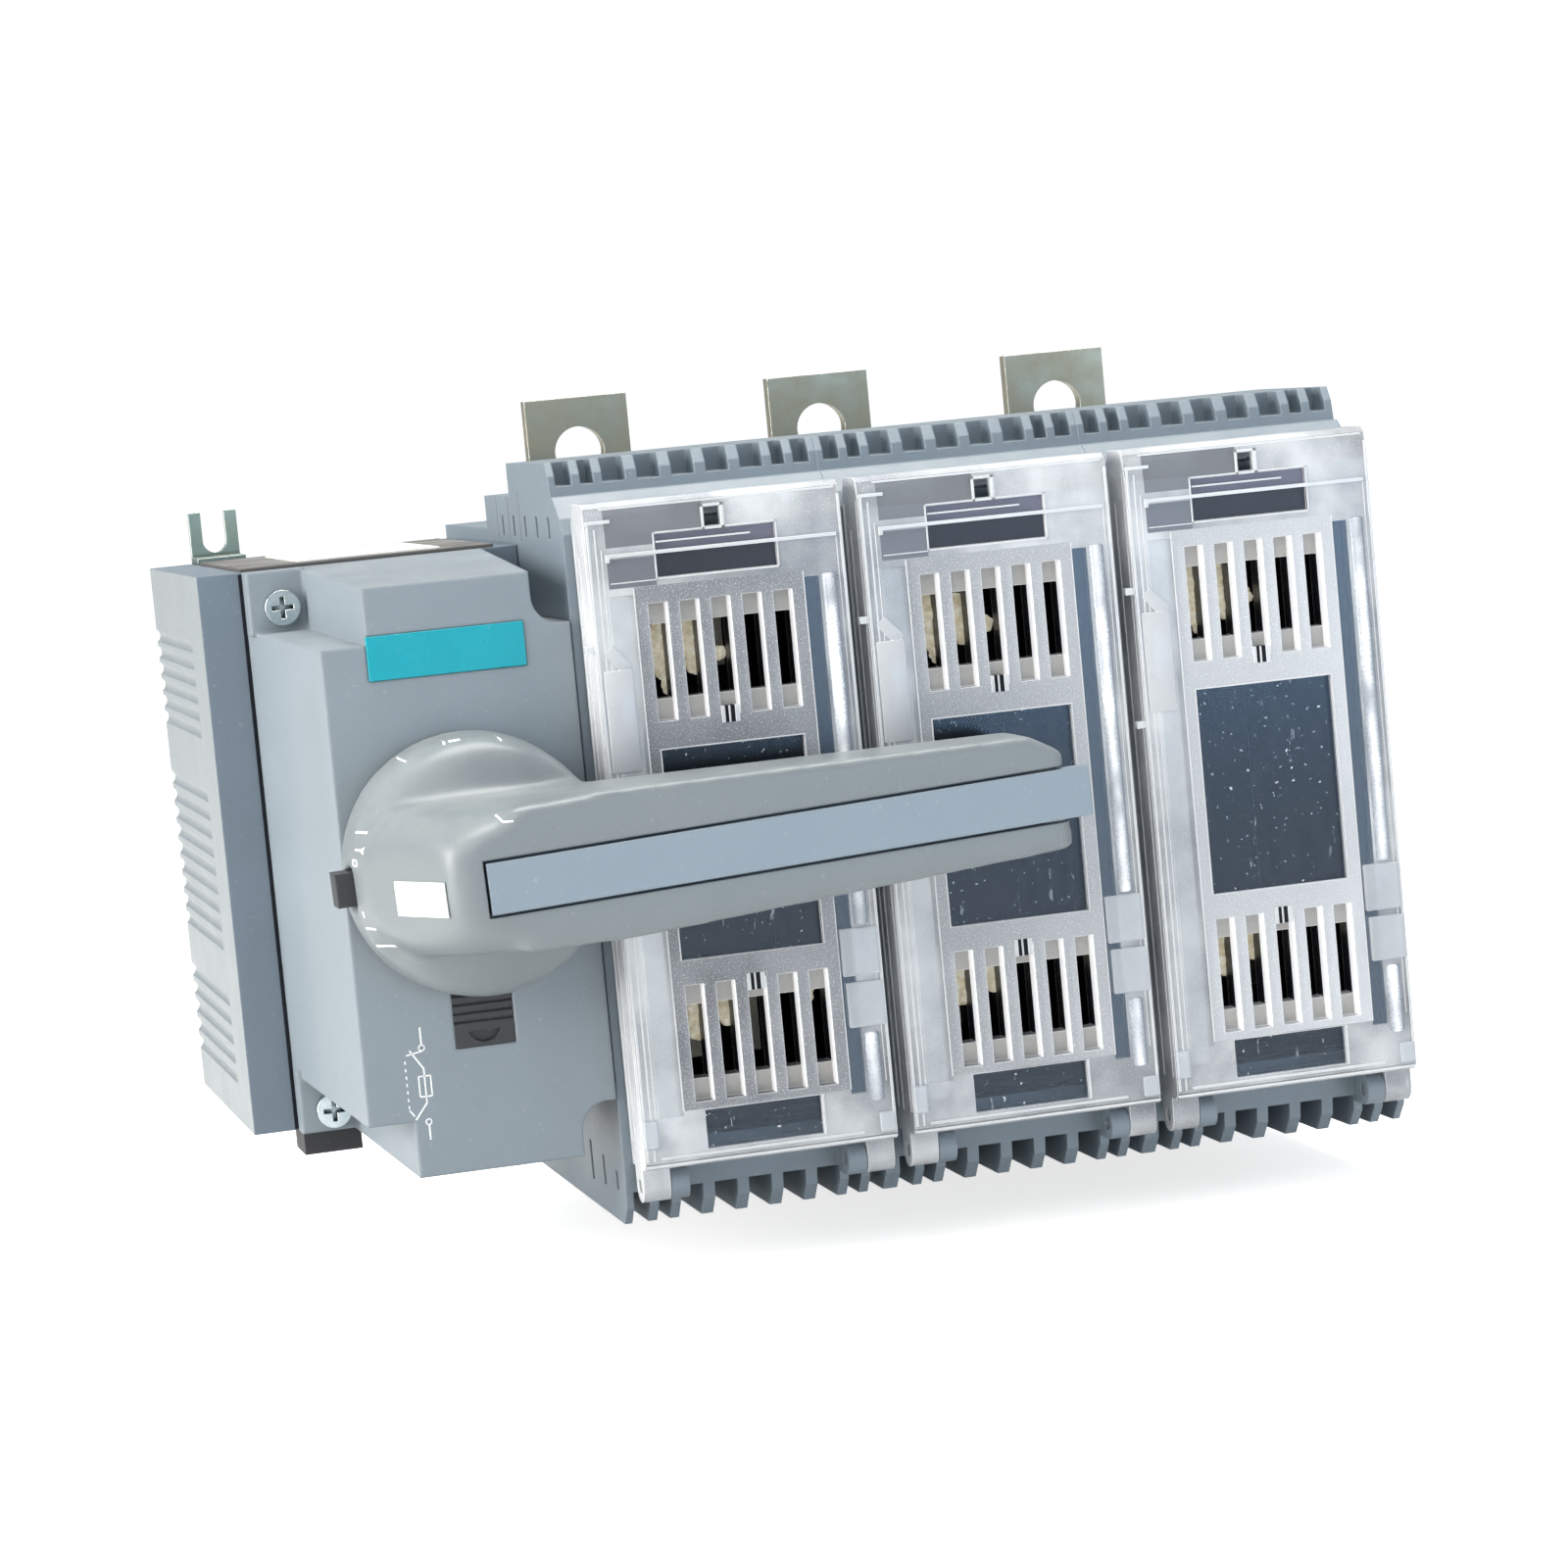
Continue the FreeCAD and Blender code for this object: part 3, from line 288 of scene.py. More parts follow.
def plated_metal(name, colour, rough=0.3, patch=0.35, tint=(0.42, 0.40, 0.32)):
    # drawn and plated metal, patchy with age, with painted shade darkening its recesses
    m, tree, bsdf = new_material(name)
    place = texture_space(tree)
    edge_out = use_group(tree, ROUNDED, Radius=0.0003)
    cloud = noise(tree, place, 170.0, 6.0, 0.62)
    fine = noise(tree, place, 900.0, 3.0, 0.6, stretch=(1, 1, 14))
    base = mix_colour(tree, ramp(tree, cloud, 0.35, 0.7, 0, patch), colour, tint)
    base = mix_colour(tree, ramp(tree, fine, 0.3, 0.8, 0, 0.35), base, shade(colour, 0.7))
    base = mix_colour(tree, times(tree, edge_out["Edge"], 0.5), base, (0.9, 0.9, 0.88))
    # painted shade: recesses darkened through an occlusion mask
    hollow = tree.nodes.new("ShaderNodeAmbientOcclusion")
    hollow.samples = RAY_SAMPLES
    hollow.inputs["Distance"].default_value = 0.0012
    base = mix_colour(tree, ramp(tree, hollow.outputs["AO"], 0.45, 0.9), shade(tint, 0.12), base)
    tree.links.new(base, bsdf.inputs["Base Color"])
    bsdf.inputs["Metallic"].default_value = 1.0
    tree.links.new(ramp(tree, cloud, 0.3, 0.75, rough - 0.08, rough + 0.18), bsdf.inputs["Roughness"])
    tree.links.new(bump(tree, fine, 0.35, 0.00006, edge_out["Normal"]), bsdf.inputs["Normal"])
    return m


def pole_axes(tree):
    # texture space, and in mm: across the object, across the pole from its own middle, up, and out
    place = texture_space(tree)
    sep = axes(tree, place)
    x = times(tree, sep["X"], 1000)
    step = times(tree, math_node(tree, "ROUND", math_node(tree, "DIVIDE", x, PITCH)), PITCH)
    across = math_node(tree, "SUBTRACT", x, step)
    up = times(tree, sep["Z"], 1000)
    out = times(tree, sep["Y"], -1000)
    return place, x, across, up, out


def make_field():
    # 1 inside an upright rectangle
    labels = ("Across", "Up", "Left", "Right", "Bottom", "Top")
    g, gi, go = node_group("rectangle_field", dict.fromkeys(labels, 0.0), {"Inside": "Float"})
    across, up, left, right, bottom, top = (gi.outputs[label] for label in labels)
    inside = times(g, math_node(g, "GREATER_THAN", across, left), math_node(g, "LESS_THAN", across, right),
                   math_node(g, "GREATER_THAN", up, bottom), math_node(g, "LESS_THAN", up, top))
    g.links.new(inside, go.inputs["Inside"])
    return g


FIELD = make_field()


def field(tree, across, up, left, right, bottom, top):
    n = tree.nodes.new("ShaderNodeGroup")
    n.node_tree = FIELD
    tree.links.new(across, n.inputs["Across"])
    tree.links.new(up, n.inputs["Up"])
    for word, value in (("Left", left), ("Right", right), ("Bottom", bottom), ("Top", top)):
        n.inputs[word].default_value = value
    return n.outputs["Inside"]


def paint(tree, base, fields, value):
    # a value replaced inside some fields
    for f in fields:
        base = math_node(tree, "ADD", times(tree, base, math_node(tree, "SUBTRACT", 1.0, f)),
                         times(tree, f, value))
    return base


def see_through(tree, frost, surface, gloss_rough=0.04):
    # clear plastic with its reflection, covered by a frosted surface to the given share
    clear = tree.nodes.new("ShaderNodeBsdfTransparent")
    clear.inputs["Color"].default_value = (0.93, 0.955, 0.97, 1)
    gloss = tree.nodes.new("ShaderNodeBsdfGlossy")
    gloss.inputs["Roughness"].default_value = gloss_rough
    gloss.inputs["Color"].default_value = (0.50, 0.60, 0.76, 1)
    fresnel = tree.nodes.new("ShaderNodeFresnel")
    fresnel.inputs["IOR"].default_value = 1.5
    pane = mix_shader(tree, fresnel.outputs[0], clear.outputs[0], gloss.outputs[0])
    tree.links.new(mix_shader(tree, frost, pane, surface), tree.nodes["Material Output"].inputs["Surface"])


def clear_cover(name):
    # clear moulding: polished windows, eroded panels with painted glints, milky slot ends, slot cheeks with
    # painted highlight and glow, painted shade in the slit and deep in the slots, and painted highlights on its
    # edges
    m, tree, bsdf = new_material(name)
    place, x, across, up, out = pole_axes(tree)
    facing = axes(tree, texture_space(tree, "Normal"))
    edge_out = use_group(tree, ROUNDED, Radius=0.00035)
    fine = noise(tree, place, 2600.0, 2.0, 0.75)
    # painted glints: white specks of painted highlight on the eroded panels
    painted_glint = ramp(tree, noise(tree, place, 2700.0, 2.0, 0.8), 0.56, 0.72)
    slow = noise(tree, place, 60.0, 3.0, 0.5)

    def at(left, right, bottom, top):
        return field(tree, across, up, left, right, bottom, top)

    def over(value, limit):
        return math_node(tree, "GREATER_THAN", value, limit)

    def under(value, limit):
        return math_node(tree, "LESS_THAN", value, limit)

    pane = math_node(tree, "MAXIMUM", at(-15.9, 15.5, -26.8, 18.5), at(-14, 11.9, -67.8, -59.3))
    # painted shade: the slit is painted near black and nearly opaque
    slit = at(-13.1, 13.3, 55.1, 60.2)
    panel = at(-18.5, 18.5, -59.0, 53.5)
    band = at(18.5, 21.9, -60.0, 52.0)
    guard = at(-24.0, -18.6, -60.0, 52.0)
    smooth = [at(-23.7, -2.1, 62.3, 70.4), at(-23.8, -13.4, 53.6, 59.8), at(-13.1, 13.3, 61.0, 64.4)]
    louvers = math_node(tree, "MAXIMUM", at(-17.2, 17.2, 24.6, 49.8), at(-17.2, 17.2, -57.4, -32.2))
    slots = times(tree, louvers, times(tree, under(out, FACE - 0.1), over(out, 151.0)))
    # slot cheeks: painted white below and given a painted glow, as a highlight where light catches them
    cheek = times(tree, slots, under(facing["X"], -0.7))
    # painted shade: the cheeks far inside the slots painted black
    painted_slot_shade = times(tree, cheek, under(out, 156.0))
    ledge = times(tree, slots, under(facing["Y"], -0.7))
    flank = under(times(tree, facing["X"], over(out, 142.0)), -0.7)

    # how much of the surface is frosted: marks and scratches alone on the polished panes
    speck = ramp(tree, noise(tree, place, 900.0, 2.0, 0.6), 0.70, 0.735)
    scratch = ramp(tree, noise(tree, place, 105.0, 3.0, 0.6, stretch=(7, 1, 1.3)), 0.70, 0.72)
    marks = math_node(tree, "ADD", times(tree, speck, 0.65), times(tree, scratch, 0.30))
    frost = ramp(tree, slow, 0.3, 0.7, 0.5, 0.68)
    for fields, share in (([flank], 0.82), ([panel], 0.9), ([band, guard], 0.42), (smooth, 0.62),
                          ([pane], math_node(tree, "ADD", marks, 0.006)), ([slit], 0.86), ([cheek, ledge], 1.0)):
        frost = paint(tree, frost, fields, share)
    # painted highlight: the rounded edges made opaque here and painted white with a faint glow below
    frost = math_node(tree, "MAXIMUM", frost, times(tree, edge_out["Edge"], 0.92))

    # panels darker towards the left pole, then the tone of each region
    eroded = mix_colour(tree, ramp(tree, x, -80, 80), (0.125, 0.133, 0.150), (0.54, 0.56, 0.59))
    eroded = mix_colour(tree, ramp(tree, slow, 0.35, 0.65, 0, 0.35), eroded, (0.44, 0.45, 0.48))
    colour = mix_colour(tree, ramp(tree, slow, 0.3, 0.7), (0.40, 0.415, 0.44), (0.78, 0.80, 0.82))
    colour = mix_colour(tree, panel, colour, eroded)
    # among these tones, the white glints, cheeks and edges are painted highlights; the black slit and slot
    # depths are painted shade
    for where, tone in ((times(tree, painted_glint, 0.8), (0.95, 0.96, 0.99)), (smooth[0], (0.23, 0.24, 0.26)),
                        (smooth[1], (0.21, 0.22, 0.25)), (smooth[2], (0.20, 0.19, 0.25)),
                        (band, (0.11, 0.155, 0.215)), (slit, (0.012, 0.012, 0.022)), (pane, (0.75, 0.82, 0.90)),
                        (ledge, (0.42, 0.405, 0.385)), (cheek, (0.92, 0.92, 0.90)),
                        (painted_slot_shade, (0.012, 0.013, 0.016)), (edge_out["Edge"], (0.95, 0.96, 0.97))):
        colour = mix_colour(tree, where, colour, tone)
    tree.links.new(colour, bsdf.inputs["Base Color"])
    # painted glow on the slot cheeks, and a faint painted glow on the edges
    painted_cheek_glow = times(tree, math_node(tree, "SUBTRACT", cheek, painted_slot_shade), 0.50)
    bsdf.inputs["Emission Color"].default_value = (0.96, 0.97, 1.0, 1)
    tree.links.new(math_node(tree, "ADD", painted_cheek_glow, times(tree, edge_out["Edge"], 0.10)),
                   bsdf.inputs["Emission Strength"])
    tree.links.new(ramp(tree, fine, 0.3, 0.7, 0.24, 0.46), bsdf.inputs["Roughness"])
    bsdf.inputs["Specular IOR Level"].default_value = 0.6
    tree.links.new(bump(tree, fine, 0.55, 0.00012, edge_out["Normal"]), bsdf.inputs["Normal"])
    see_through(tree, frost, bsdf.outputs[0], gloss_rough=0.16)
    return m


def clear_trim(name, frost, colour, glow):
    # steps and beads of the clear moulding, with painted highlights on their edges and a painted glow
    m, tree, bsdf = new_material(name)
    place = texture_space(tree)
    edge_out = use_group(tree, ROUNDED, Radius=0.0003)
    fine = noise(tree, place, 2100.0, 2.0, 0.7)
    slow = noise(tree, place, 130.0, 3.0, 0.6)
    base = mix_colour(tree, ramp(tree, slow, 0.35, 0.7), colour, shade(colour, 0.72))
    # painted highlight: edges painted near white
    base = mix_colour(tree, edge_out["Edge"], base, (0.97, 0.97, 0.97))
    tree.links.new(base, bsdf.inputs["Base Color"])
    bsdf.inputs["Roughness"].default_value = 0.22
    bsdf.inputs["Emission Color"].default_value = (0.95, 0.97, 1.0, 1)
    # painted light: a glow, though the moulding is no lamp
    bsdf.inputs["Emission Strength"].default_value = glow
    tree.links.new(bump(tree, fine, 0.3, 0.00006, edge_out["Normal"]), bsdf.inputs["Normal"])
    share = math_node(tree, "MAXIMUM", ramp(tree, slow, 0.3, 0.7, frost * 0.75, min(1.0, frost * 1.15)),
                      times(tree, edge_out["Edge"], 0.9))
    see_through(tree, share, bsdf.outputs[0])
    return m


def clear_flute(name):
    # clear round rib: a painted highlight streak down its middle, glowing and broken up by frosting, between
    # blue-grey flanks
    m, tree, bsdf = new_material(name)
    place, _, across, _, _ = pole_axes(tree)
    fine = noise(tree, place, 2400.0, 2.0, 0.75)
    patch = noise(tree, place, 62.0, 3.0, 0.6, stretch=(1, 1, 0.55))
    off = math_node(tree, "ABSOLUTE", math_node(tree, "SUBTRACT", across, 23.9))
    off = math_node(tree, "ADD", off, times(tree, math_node(tree, "SUBTRACT", fine, 0.5), 1.6))
    # painted highlight: a white glowing streak where the rib reflects the light
    painted_streak = times(tree, ramp(tree, off, 1.5, 0.3), ramp(tree, patch, 0.36, 0.62, 0.15, 1.0))
    tree.links.new(mix_colour(tree, painted_streak, (0.36, 0.40, 0.46), (0.95, 0.96, 0.98)), bsdf.inputs["Base Color"])
    bsdf.inputs["Roughness"].default_value = 0.25
    bsdf.inputs["Emission Color"].default_value = (0.96, 0.98, 1.0, 1)
    tree.links.new(times(tree, painted_streak, 0.55), bsdf.inputs["Emission Strength"])
    tree.links.new(bump(tree, fine, 0.35, 0.00008), bsdf.inputs["Normal"])
    see_through(tree, math_node(tree, "ADD", times(tree, painted_streak, 0.4), 0.55), bsdf.outputs[0])
    return m


def dark_lining_and_shade(name):
    # matt black moulding with a blue cast, for the chamber liner and for painted shade in gaps
    m, tree, bsdf = new_material(name)
    place = texture_space(tree)
    cloud = noise(tree, place, 80.0, 4.0, 0.6)
    black = mix_colour(tree, ramp(tree, cloud, 0.3, 0.7), (0.0035, 0.0045, 0.0085), (0.010, 0.012, 0.018))
    tree.links.new(black, bsdf.inputs["Base Color"])
    tree.links.new(ramp(tree, cloud, 0.3, 0.7, 0.5, 0.75), bsdf.inputs["Roughness"])
    bsdf.inputs["Specular IOR Level"].default_value = 0.15
    tree.links.new(bump(tree, noise(tree, place, 1500.0, 3.0, 0.6), 0.12, 0.00004), bsdf.inputs["Normal"])
    return m


def grease(name):
    # cream-coloured contact grease, with a painted glow
    m, tree, bsdf = new_material(name)
    place = texture_space(tree)
    cloud = noise(tree, place, 420.0, 5.0, 0.65)
    cream = mix_colour(tree, ramp(tree, cloud, 0.35, 0.68), (0.62, 0.54, 0.36), (0.88, 0.85, 0.72))
    tree.links.new(cream, bsdf.inputs["Base Color"])
    tree.links.new(cream, bsdf.inputs["Emission Color"])
    # painted light: the grease glows faintly, though it is no lamp
    bsdf.inputs["Emission Strength"].default_value = 0.28
    bsdf.inputs["Roughness"].default_value = 0.32
    bsdf.inputs["Subsurface Weight"].default_value = 0.15
    bsdf.inputs["Subsurface Radius"].default_value = (0.003, 0.0025, 0.0015)
    tree.links.new(bump(tree, cloud, 0.6, 0.0004), bsdf.inputs["Normal"])
    return m


def print_white(name):
    # screen-printed white, slightly worn
    m, tree, bsdf = new_material(name)
    place = texture_space(tree)
    worn = ramp(tree, noise(tree, place, 1800.0, 3.0, 0.7), 0.30, 0.42)
    tree.links.new(mix_colour(tree, worn, (0.50, 0.55, 0.58), (0.88, 0.89, 0.88)), bsdf.inputs["Base Color"])
    bsdf.inputs["Roughness"].default_value = 0.5
    tree.links.new(bump(tree, worn, 0.2, 0.00003), bsdf.inputs["Normal"])
    return m


def printed_card(name, colour):
    # matt card, slightly clouded
    m, tree, bsdf = new_material(name)
    place = texture_space(tree)
    cloud = noise(tree, place, 260.0, 5.0, 0.6)
    clouded = mix_colour(tree, ramp(tree, cloud, 0.35, 0.7, 0, 0.25), colour, shade(colour, 0.82))
    tree.links.new(clouded, bsdf.inputs["Base Color"])
    bsdf.inputs["Roughness"].default_value = 0.6
    tree.links.new(bump(tree, cloud, 0.3, 0.00005), bsdf.inputs["Normal"])
    return m


# the record's material slots
finish = {
    "housing_grey": moulded_plastic("pole_moulding", POLE_GREY, rough=0.40, grain=1900),
    # its left face lightened by painted light
    "side_grey": moulded_plastic("side_moulding", SIDE_GREY, rough=0.45, grain=1700,
                                 side=(0.235, 0.262, 0.277)),
    "cover_grey": moulded_plastic("cover_moulding", COVER_GREY, rough=0.42, grain=1900, edge_radius=0.0011),
    "clear_plastic": clear_cover("clear_cover"),
    "tinned_copper": plated_metal("tinned_copper", (0.40, 0.385, 0.31), rough=0.42, tint=(0.30, 0.28, 0.20)),
    "silvered_copper": plated_metal("silvered_copper", (0.22, 0.21, 0.18), rough=0.4),
    "shaft_black": moulded_plastic("shaft_black", (0.022, 0.023, 0.026), dust=0.05, edge_light=0.1),
    "drive_steel": plated_metal("drive_steel", (0.50, 0.50, 0.50), rough=0.36),
    "frame_dark": moulded_plastic("frame_dark", (0.05, 0.052, 0.056), dust=0.05, edge_light=0.12),
    "pin_steel": plated_metal("pin_steel", (0.60, 0.61, 0.62), rough=0.24),
    "plate_teal": moulded_plastic("plate_teal", srgb(0, 150, 166), rough=0.25, grain=900, depth=0.00001,
                                  dust=0.03, edge_light=0.5),
    "screw_zinc": plated_metal("screw_zinc", (0.60, 0.68, 0.72), rough=0.16, tint=(0.25, 0.42, 0.46)),
    "slide_black": moulded_plastic("slide_black", (0.030, 0.031, 0.036), rough=0.5, dust=0.06,
                                   edge_light=0.15),
    "strip_grey": moulded_plastic("strip_grey", srgb(84, 82, 80), rough=0.6, dust=0.3),
    "card_white": printed_card("card_white", (0.86, 0.86, 0.83)),
    "handle_grey": moulded_plastic("handle_moulding", HANDLE_GREY, rough=0.34, grain=2200, edge_radius=0.0006,
                                   edge_light=0.2),
    "bar_grey": moulded_plastic("bar_moulding", BAR_GREY, rough=0.36, grain=2200),
    "fork_zinc": plated_metal("fork_zinc", (0.40, 0.50, 0.48), rough=0.28, patch=0.6, tint=(0.30, 0.36, 0.27)),
}
for part in frame["record"]["subparts"]:
    slots = nodes[part["node"]].data.materials
    slots.clear()
    slots.append(finish[part["material_slot"]])

# finishes of the pieces added here; each glow is painted light, strongest on the guard, which sits in shade
BEAD = clear_trim("clear_bead", frost=0.80, colour=(0.74, 0.76, 0.78), glow=0.06)
BLOCK = clear_trim("clear_block", frost=0.42, colour=(0.80, 0.84, 0.88), glow=0.14)
FLUTE = clear_flute("clear_flute")
TONGUE = clear_trim("clear_tongue", frost=0.78, colour=(0.66, 0.68, 0.71), glow=0.05)
GUARD = clear_trim("milky_guard", frost=1.0, colour=(0.80, 0.80, 0.73), glow=0.30)
# black for the chamber liner and for painted shade
LINING_AND_SHADE = dark_lining_and_shade("chamber_lining_and_painted_shade")
GREASE = grease("contact_grease")
INK = print_white("print_white")


def start():
    # object mode with nothing selected
    if bpy.context.mode != "OBJECT":
        bpy.ops.object.mode_set(mode="OBJECT")
    bpy.ops.object.select_all(action="DESELECT")


def pick(o):
    start()
    o.select_set(True)
    bpy.context.view_layer.objects.active = o


def join(parts):
    # several objects made into the first of them, left selected and active
    pick(parts[0])
    for o in parts[1:]:
        o.select_set(True)
    if len(parts) > 1:
        bpy.ops.object.join()
    return bpy.context.view_layer.objects.active


def settle():
    # the place goes into the mesh, with the object left at the origin
    bpy.ops.object.transform_apply(location=True, rotation=True, scale=True)
    return bpy.context.object


def block(x0, x1, out0, out1, z0, z1):
    # a box by its sides in mm
    start()
    middle = Vector(((x0 + x1) / 2, -(out0 + out1) / 2, (z0 + z1) / 2)) * MM
    bpy.ops.mesh.primitive_cube_add(size=1, location=middle,
                                    scale=((x1 - x0) * MM, (out1 - out0) * MM, (z1 - z0) * MM))
    return settle()


def cylinder(radius, depth, place, vertices, rotation=(0, 0, 0)):
    # a round bar by its radius, length and middle in mm, upright unless rotated
    start()
    bpy.ops.mesh.primitive_cylinder_add(vertices=vertices, radius=radius * MM, depth=depth * MM,
                                        rotation=rotation, location=Vector(place) * MM)
    return settle()


def ball(out, radii, segments, rings):
    # a ball or egg on the handle's axis
    start()
    bpy.ops.mesh.primitive_uv_sphere_add(segments=segments, ring_count=rings, radius=1,
                                         location=Vector((KNOB_X, -out, KNOB_Z)) * MM,
                                         scale=[r * MM for r in radii])
    return settle()


def turn(angle, axis, pivot):
    # the whole mesh of the active piece turned about a point; the operator turns against the right-hand rule
    bpy.ops.object.mode_set(mode="EDIT")
    bpy.ops.mesh.select_all(action="SELECT")
    bpy.ops.transform.rotate(value=angle, orient_axis=axis, center_override=pivot)
    bpy.ops.object.mode_set(mode="OBJECT")


def stick(xa, za, xb, zb, out0, out1, wide):
    # a straight bar drawn on the front between two points
    length = math.hypot(xb - xa, zb - za)
    cx, cz = (xa + xb) / 2, (za + zb) / 2
    o = block(cx - length / 2, cx + length / 2, out0, out1, cz - wide / 2, cz + wide / 2)
    turn(math.atan2(zb - za, xb - xa), "Y", Vector((cx, -(out0 + out1) / 2, cz)) * MM)
    return o


def modify(o, kind, **settings):
    # a modifier added and applied
    pick(o)
    mod = o.modifiers.new(kind.lower(), kind)
    for k, v in settings.items():
        setattr(mod, k, v)
    bpy.ops.object.modifier_apply(modifier=mod.name)
    return o


def drop(o):
    # a tool that has done its work
    bpy.data.objects.remove(o, do_unlink=True)


def piece(name, parts, material, body, bevel=None, smooth=None):
    # parts made one named piece on its body; bevel in mm, smooth as an angle in degrees
    o = join(parts)
    o.name = name
    o.data.name = name
    if bevel:
        modify(o, "BEVEL", width=bevel * MM, segments=2, limit_method="ANGLE")
    o.data.materials.clear()
    o.data.materials.append(material)
    pick(o)
    if smooth:
        bpy.ops.object.shade_smooth_by_angle(angle=math.radians(smooth))
    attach(o, body)
    return o


def frame_lines(x0, x1, z0, z1, out0, out1, wide):
    # four bars round an upright rectangle
    return [block(x0, x1, out0, out1, z1 - wide, z1), block(x0, x1, out0, out1, z0, z0 + wide),
            block(x0, x0 + wide, out0, out1, z0, z1), block(x1 - wide, x1, out0, out1, z0, z1)]


def chamber(n, x):
    # open black liner of the fuse chamber, partly the black inside of the moulding and partly painted shade
    half, back, front, low, high, wall = 25.5, 72, 145.4, -66.4, 63.4, 0.8
    parts = [block(x - half - wall, x - half, back, front, low, high),
             block(x + half, x + half + wall, back, front, low, high),
             block(x - half, x + half, back, front, high - wall, high),
             block(x - half, x + half, back, front, low, low + wall),
             block(x - half, x + half, back - wall, back, low, high)]
    piece("chamber_liner_%d" % n, parts, LINING_AND_SHADE, "switch", bevel=0.2)


# beads on the front of a clear cover: left, right, bottom, top, height above the front
FRONT_BEADS = (
    (-24.1, 26.4, 60.2, 60.95, 0.7), (-12.9, 7.7, 62.5, 62.85, 0.35), (-24.1, -23.3, 59.2, 60.2, 0.7),
    (-24.6, 26.8, 70.4, 70.8, 0.1), (-27.9, -22.5, 67.6, 68.3, 0.5), (-27.7, -27.2, -69, 68.0, 0.25),
    (-26.1, -25.75, -69, 66.5, 0.15), (-24.9, -24.7, -60, 62, 0.1), (27.3, 27.9, -69, 69, 0.25),
    (26.4, 26.6, -58, 60, 0.1), (-18.75, -18.45, -59, 53.3, 0.1), (18.45, 18.65, -59, 53.3, 0.1),
    (-24.5, 20.5, -68.9, -68.35, 0.35), (-27.9, 27.9, -70.4, -69.9, 0.3), (11.9, 12.35, -67.9, -59.2, 0.2),
    (-23.4, -13.4, 54.6, 54.85, 0.1), (-15.9, 15.5, 18.5, 18.75, 0.12), (-16.15, -15.9, -26.8, 18.75, 0.12),
    (15.5, 15.75, -26.8, 18.75, 0.12), (-2.6, 2.4, 69.15, 69.7, 0.3), (-2.6, 2.4, 64.3, 64.8, 0.3),
    (-2.6, -2.05, 64.3, 69.7, 0.3), (1.65, 2.4, 64.3, 69.7, 0.3))
# beads along its left side: back, front, top
SIDE_BEADS = ((147.4, 148.1, 66), (151.6, 152.0, 60.5), (157.6, 158.2, 67))
# the small posts between the louvers: bottoms of the upper and the lower one, and their height
POST_LEVELS = (22.9, -34.8)
POST_TALL = 3.6


def cover_trim(n, x):
    # raised detail of one clear cover
    body = "cover_%d" % n
    beads = [block(x + x0, x + x1, FACE - SUNK, FACE + proud, z0, z1) for x0, x1, z0, z1, proud in FRONT_BEADS]
    beads += frame_lines(x - 13.5, x + 13.6, 54.7, 64.8, FACE - SUNK, FACE + 0.2, 0.32)
    beads += [block(x - 28.15, x - 27.95, out0, out1, -66, top) for out0, out1, top in SIDE_BEADS]
    catch = 30.0 if n == 1 else 29.8  # the first cover has a little more room beside it
    beads += [block(x - catch, x - 28, 157.4, 159.6, z, z + 1.5) for z in (40.6, 11.4)]
    for z in POST_LEVELS:
        beads += [block(x + x0, x + x1, 157.6, FACE + proud, z, z + POST_TALL) for x0, x1, proud in
                  ((-2.1, -1.3, 0.15), (0.9, 1.9, 0.15), (-0.5, -0.1, 0.1))]
    piece("cover_beads_%d" % n, beads, BEAD, body)
    # painted shade: black blocks in the gaps between the posts
    gaps = [block(x - 1.3, x + 0.9, 157.7, FACE + 0.02, z, z + POST_TALL) for z in POST_LEVELS]
    piece("cover_post_gaps_%d" % n, gaps, LINING_AND_SHADE, body)

    blocks = [block(x + x0, x + x1, out, FACE + proud, z0, z1) for x0, x1, out, proud, z0, z1 in
              ((19.0, 27.4, 157.9, 0.8, -34.6, -24.2), (19.4, 27.6, 157.9, 0.9, -45.8, -35.9),
               (-27.9, -24.6, 158.5, 0.8, -66.3, -60.1), (24.2, 27.6, 158.5, 0.9, -69.2, -64.6))]
    piece("cover_blocks_%d" % n, blocks, BLOCK, body, bevel=0.45)
    ribs = [cylinder(1.9, long, (x + 24.2, -159.1, z), 28) for long, z in ((76, 14.4), (15, -54.6))]
    piece("cover_flute_%d" % n, ribs, FLUTE, body, bevel=0.5, smooth=40)
    guard = [block(x - 24.4, x - 18.9, 151, 157.7, -64, 51.5)]
    piece("cover_guard_%d" % n, guard, GUARD, body, bevel=0.6)
    tongue = [block(x - 27.0, x - 20.4, 158.2, FACE + 0.45, 14.4, 36.6),
              stick(x - 25.6, 41.0, x - 21.2, 36.0, 158.4, FACE + 0.3, 3.2)]
    piece("cover_tongue_%d" % n, tongue, TONGUE, body, bevel=0.7, smooth=40)


def joint_shadow():
    # painted shadow: a black strip in the gap between the housing and its front cover
    parts = [block(-153.3, -152.5, 92.45, 93.0, -62.3, 62.3)]
    piece("lid_joint_painted_shadow", parts, LINING_AND_SHADE, "switch")


# lumps of grease: across the pole, up, half width, half height
LUMPS = ((-11.9, 41.0, 2.7, 5.0), (-11.6, 36.4, 2.3, 4.4), (-5.2, 40.8, 2.6, 4.6), (-4.4, 36.6, 2.4, 3.4),
         (-11.5, -38.4, 2.4, 3.6), (-4.8, -39.2, 2.7, 4.6), (-11.9, -43.0, 1.9, 2.6), (0.9, 37.2, 1.3, 1.8),
         (-11.0, 32.2, 1.0, 2.4), (13.5, -37.6, 1.1, 2.6))


